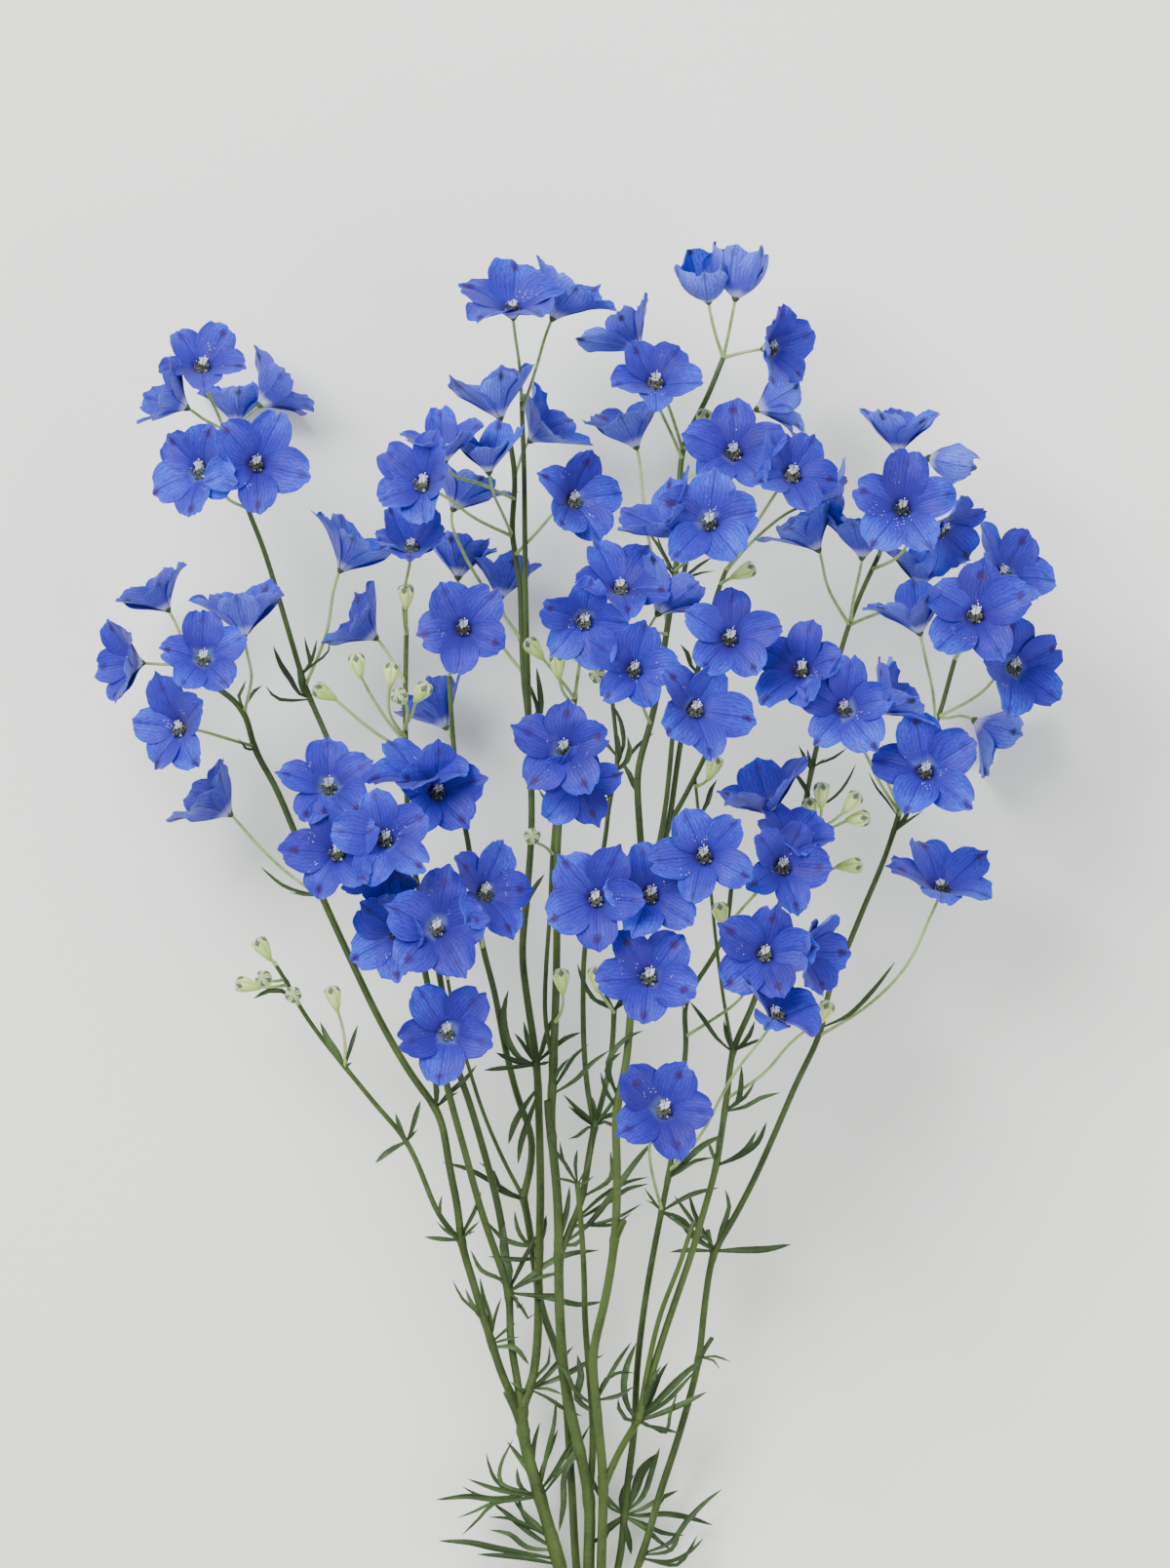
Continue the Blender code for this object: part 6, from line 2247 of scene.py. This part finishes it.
    def crown(self) -> list[Piece]:
        """The swollen foot of the plant and its pale cut end.

        Returns:
            The foot and the cut.
        """
        top = photo_point(*self.crown_top, self.crown_height)
        end = photo_point(*self.crown_end, self.cut_height)
        shares = np.linspace(0.0, 1.0, self.foot_rings - 1)
        centres = np.array([top.lerp(end, share) for share in shares])
        radii = np.interp(shares, *FOOT_PROFILE) * self.crown_radius
        radii *= 1.0 + self.ring_height * np.sin(shares * self.ring_beats)
        tube = tube_shape(centres, radii)

        def ridged(along: np.ndarray, around: np.ndarray) -> np.ndarray:
            """The tube with lengthwise ribs, kept over the surface."""
            middle = np.concatenate([centres[:1], centres, centres[-1:]])[rows_of(along, self.foot_rings)]
            ribs = 1.0 + self.rib_height * np.sin(self.foot_ribs * math.tau * around)
            points = middle + (tube(along, around) - middle) * ribs[:, None]
            points[:, 2] = np.maximum(points[:, 2], 0.0)
            return points

        faces = (self.foot_rings, 6 * self.foot_ribs)
        foot = self.bench.sheet("foot", faces, ridged, (Finish.STEM,), -0.1)
        run = (end - top).normalized()
        disc = tube_shape(
            np.array([end + run * 0.05 * MM, end + run * 0.5 * MM]), np.array([0.86, 0.80]) * self.cut_radius)
        return [foot, self.bench.sheet("cut", (3, 24), disc, (Finish.CUT,))]

    def build(self, node: str) -> Piece:
        """Build one leafy stem with all that grows on it.

        Args:
            node: The leafy stem's short name.

        Returns:
            The leafy stem as one object.
        """
        stems = [stem for stem in STEMS if stem.node == node]
        names = {stem.name for stem in stems}
        tubes = [self.stem(stem) for stem in stems]
        for members in BLOOMS.values():
            tubes += [self.bloom_stalk(bloom) for bloom in members if bloom.stem in names]
        draw = random.Random("buds")
        for bud in BUDS:
            if bud.stem in names:
                tubes += self.bud(bud, draw)
        if node == "left":
            tubes += self.crown()
        name = "leafy_stem_" + node
        body = joined(tubes, name, weld=True)
        traced = random.Random("traced")
        lobes = [self.traced_lobe(lobe, traced) for lobe in LOBES if lobe.stem in names]
        leaves = joined(lobes, "leaves_" + node)
        thickened(leaves, self.leaf_sheet, 0)
        return joined([body, leaves], name)


@dataclass
class Studio:
    """A plain pale floor, soft light and a camera that looks straight down."""

    distance: float = 5.0
    focus_height: float = 0.085
    sensor: float = 36.0
    clip_end: float = 50.0
    floor_size: float = 14.0
    floor_place: Triple = (0.0, 0.0, -0.0005)
    floor_colours: tuple[Colour, Colour] = ((0.90, 0.935, 0.85, 1), (0.92, 0.95, 0.87, 1))
    sky: Colour = (0.95, 0.98, 1.0, 1.0)
    sky_strength: float = 0.6
    aim: Triple = (0.0, 0.05, 0.08)

    def floor(self) -> None:
        """Lay the floor on which the spray rests."""
        select_only(None)
        bpy.ops.mesh.primitive_grid_add(
            x_subdivisions=8, y_subdivisions=8, size=self.floor_size, location=self.floor_place)
        floor = bpy.context.object
        bpy.ops.object.transform_apply(location=True, rotation=True, scale=True)
        floor.name = "floor"
        surface = Surface(roughness=0.9, specular=0.1)
        made, graph = surface.start("floor_pale")
        surface.dress(graph, graph.mix(graph.noise(3.0, 1.0), *self.floor_colours), None)
        floor.data.materials.append(made)
        floor.select_set(False)

    def lamp(self, name: str, place: Sequence[float], size: float, power: float) -> None:
        """Hang a square soft light that points at the spray.

        Args:
            name: Its name.
            place: Where it hangs.
            size: Its side in metres.
            power: Its power in watts.
        """
        light = bpy.data.lights.new(name, "AREA")
        light.shape = "SQUARE"
        light.size = size
        light.energy = power
        lamp = bpy.data.objects.new(name, light)
        lamp.location = place
        lamp.rotation_euler = (Vector(self.aim) - Vector(place)).to_track_quat("-Z", "Y").to_euler()
        bpy.context.scene.collection.objects.link(lamp)

    def world(self) -> None:
        """Give the surroundings an even pale light."""
        world = bpy.data.worlds.new("studio")
        world.use_nodes = True
        inputs = world.node_tree.nodes["Background"].inputs
        inputs["Color"].default_value = self.sky
        inputs["Strength"].default_value = self.sky_strength
        bpy.context.scene.world = world

    def camera(self) -> None:
        """Set the camera over the spray, framed as the photograph is."""
        lens = bpy.data.cameras.new("camera")
        lens.sensor_fit = "VERTICAL"
        lens.sensor_height = self.sensor
        lens.lens = self.sensor * self.distance / (PHOTO_HEIGHT * PHOTO_PIXEL)
        lens.clip_end = self.clip_end
        camera = bpy.data.objects.new("camera", lens)
        middle = photo_point(PHOTO_WIDTH / 2.0, PHOTO_HEIGHT / 2.0, 0.0)
        camera.location = (middle.x, middle.y, self.distance + self.focus_height)
        bpy.context.scene.collection.objects.link(camera)
        bpy.context.scene.camera = camera

    def build(self) -> None:
        """Build the studio."""
        self.floor()
        self.lamp("key", (-1.1, 1.3, 2.2), 1.4, 118.0)
        self.lamp("fill", (1.4, -0.6, 1.9), 2.0, 38.0)
        self.world()
        self.camera()


def hand_over(piece: Piece, node: str) -> None:
    """Tell the frame what a finished piece stands for.

    Args:
        piece: The piece.
        node: The CAD node it replaces.
    """
    select_only(piece)
    bpy.ops.object.shade_smooth_by_angle(angle=SMOOTH_ANGLE)
    piece.select_set(False)
    for vertex in piece.data.vertices:
        vertex.co.z = max(vertex.co.z, 0.0)
    piece.name = node + "_fine"
    piece.data.name = node + "_fine"
    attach(piece, "root")
    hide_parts(node)
    LOG.info("%s: %d faces", piece.name, len(piece.data.polygons))


def clear_templates(bench: Bench, maker: BloomMaker) -> None:
    """Remove what was only modelled to be copied.

    Args:
        bench: The bench with its grids.
        maker: The maker with its templates.
    """
    for source in (maker.centre, maker.seat):
        bpy.data.objects.remove(source)
    for mesh in bench.grids.values():
        bpy.data.meshes.remove(mesh)


def main() -> None:
    """Build every piece in order and report it."""
    bench = Bench(Palette())
    blooms = BloomMaker(bench)
    for group, members in BLOOMS.items():
        node = ("blooms_" if len(members) > 1 else "bloom_") + group
        made = [blooms.build(bloom) for bloom in members]
        hand_over(joined(made, node), node)
    greens = GreenMaker(bench, Layout())
    for node in dict.fromkeys(stem.node for stem in STEMS):
        hand_over(greens.build(node), "leafy_stem_" + node)
    clear_templates(bench, blooms)
    Studio().build()


if __name__ == "__main__":
    logging.basicConfig(level=logging.INFO)
    main()
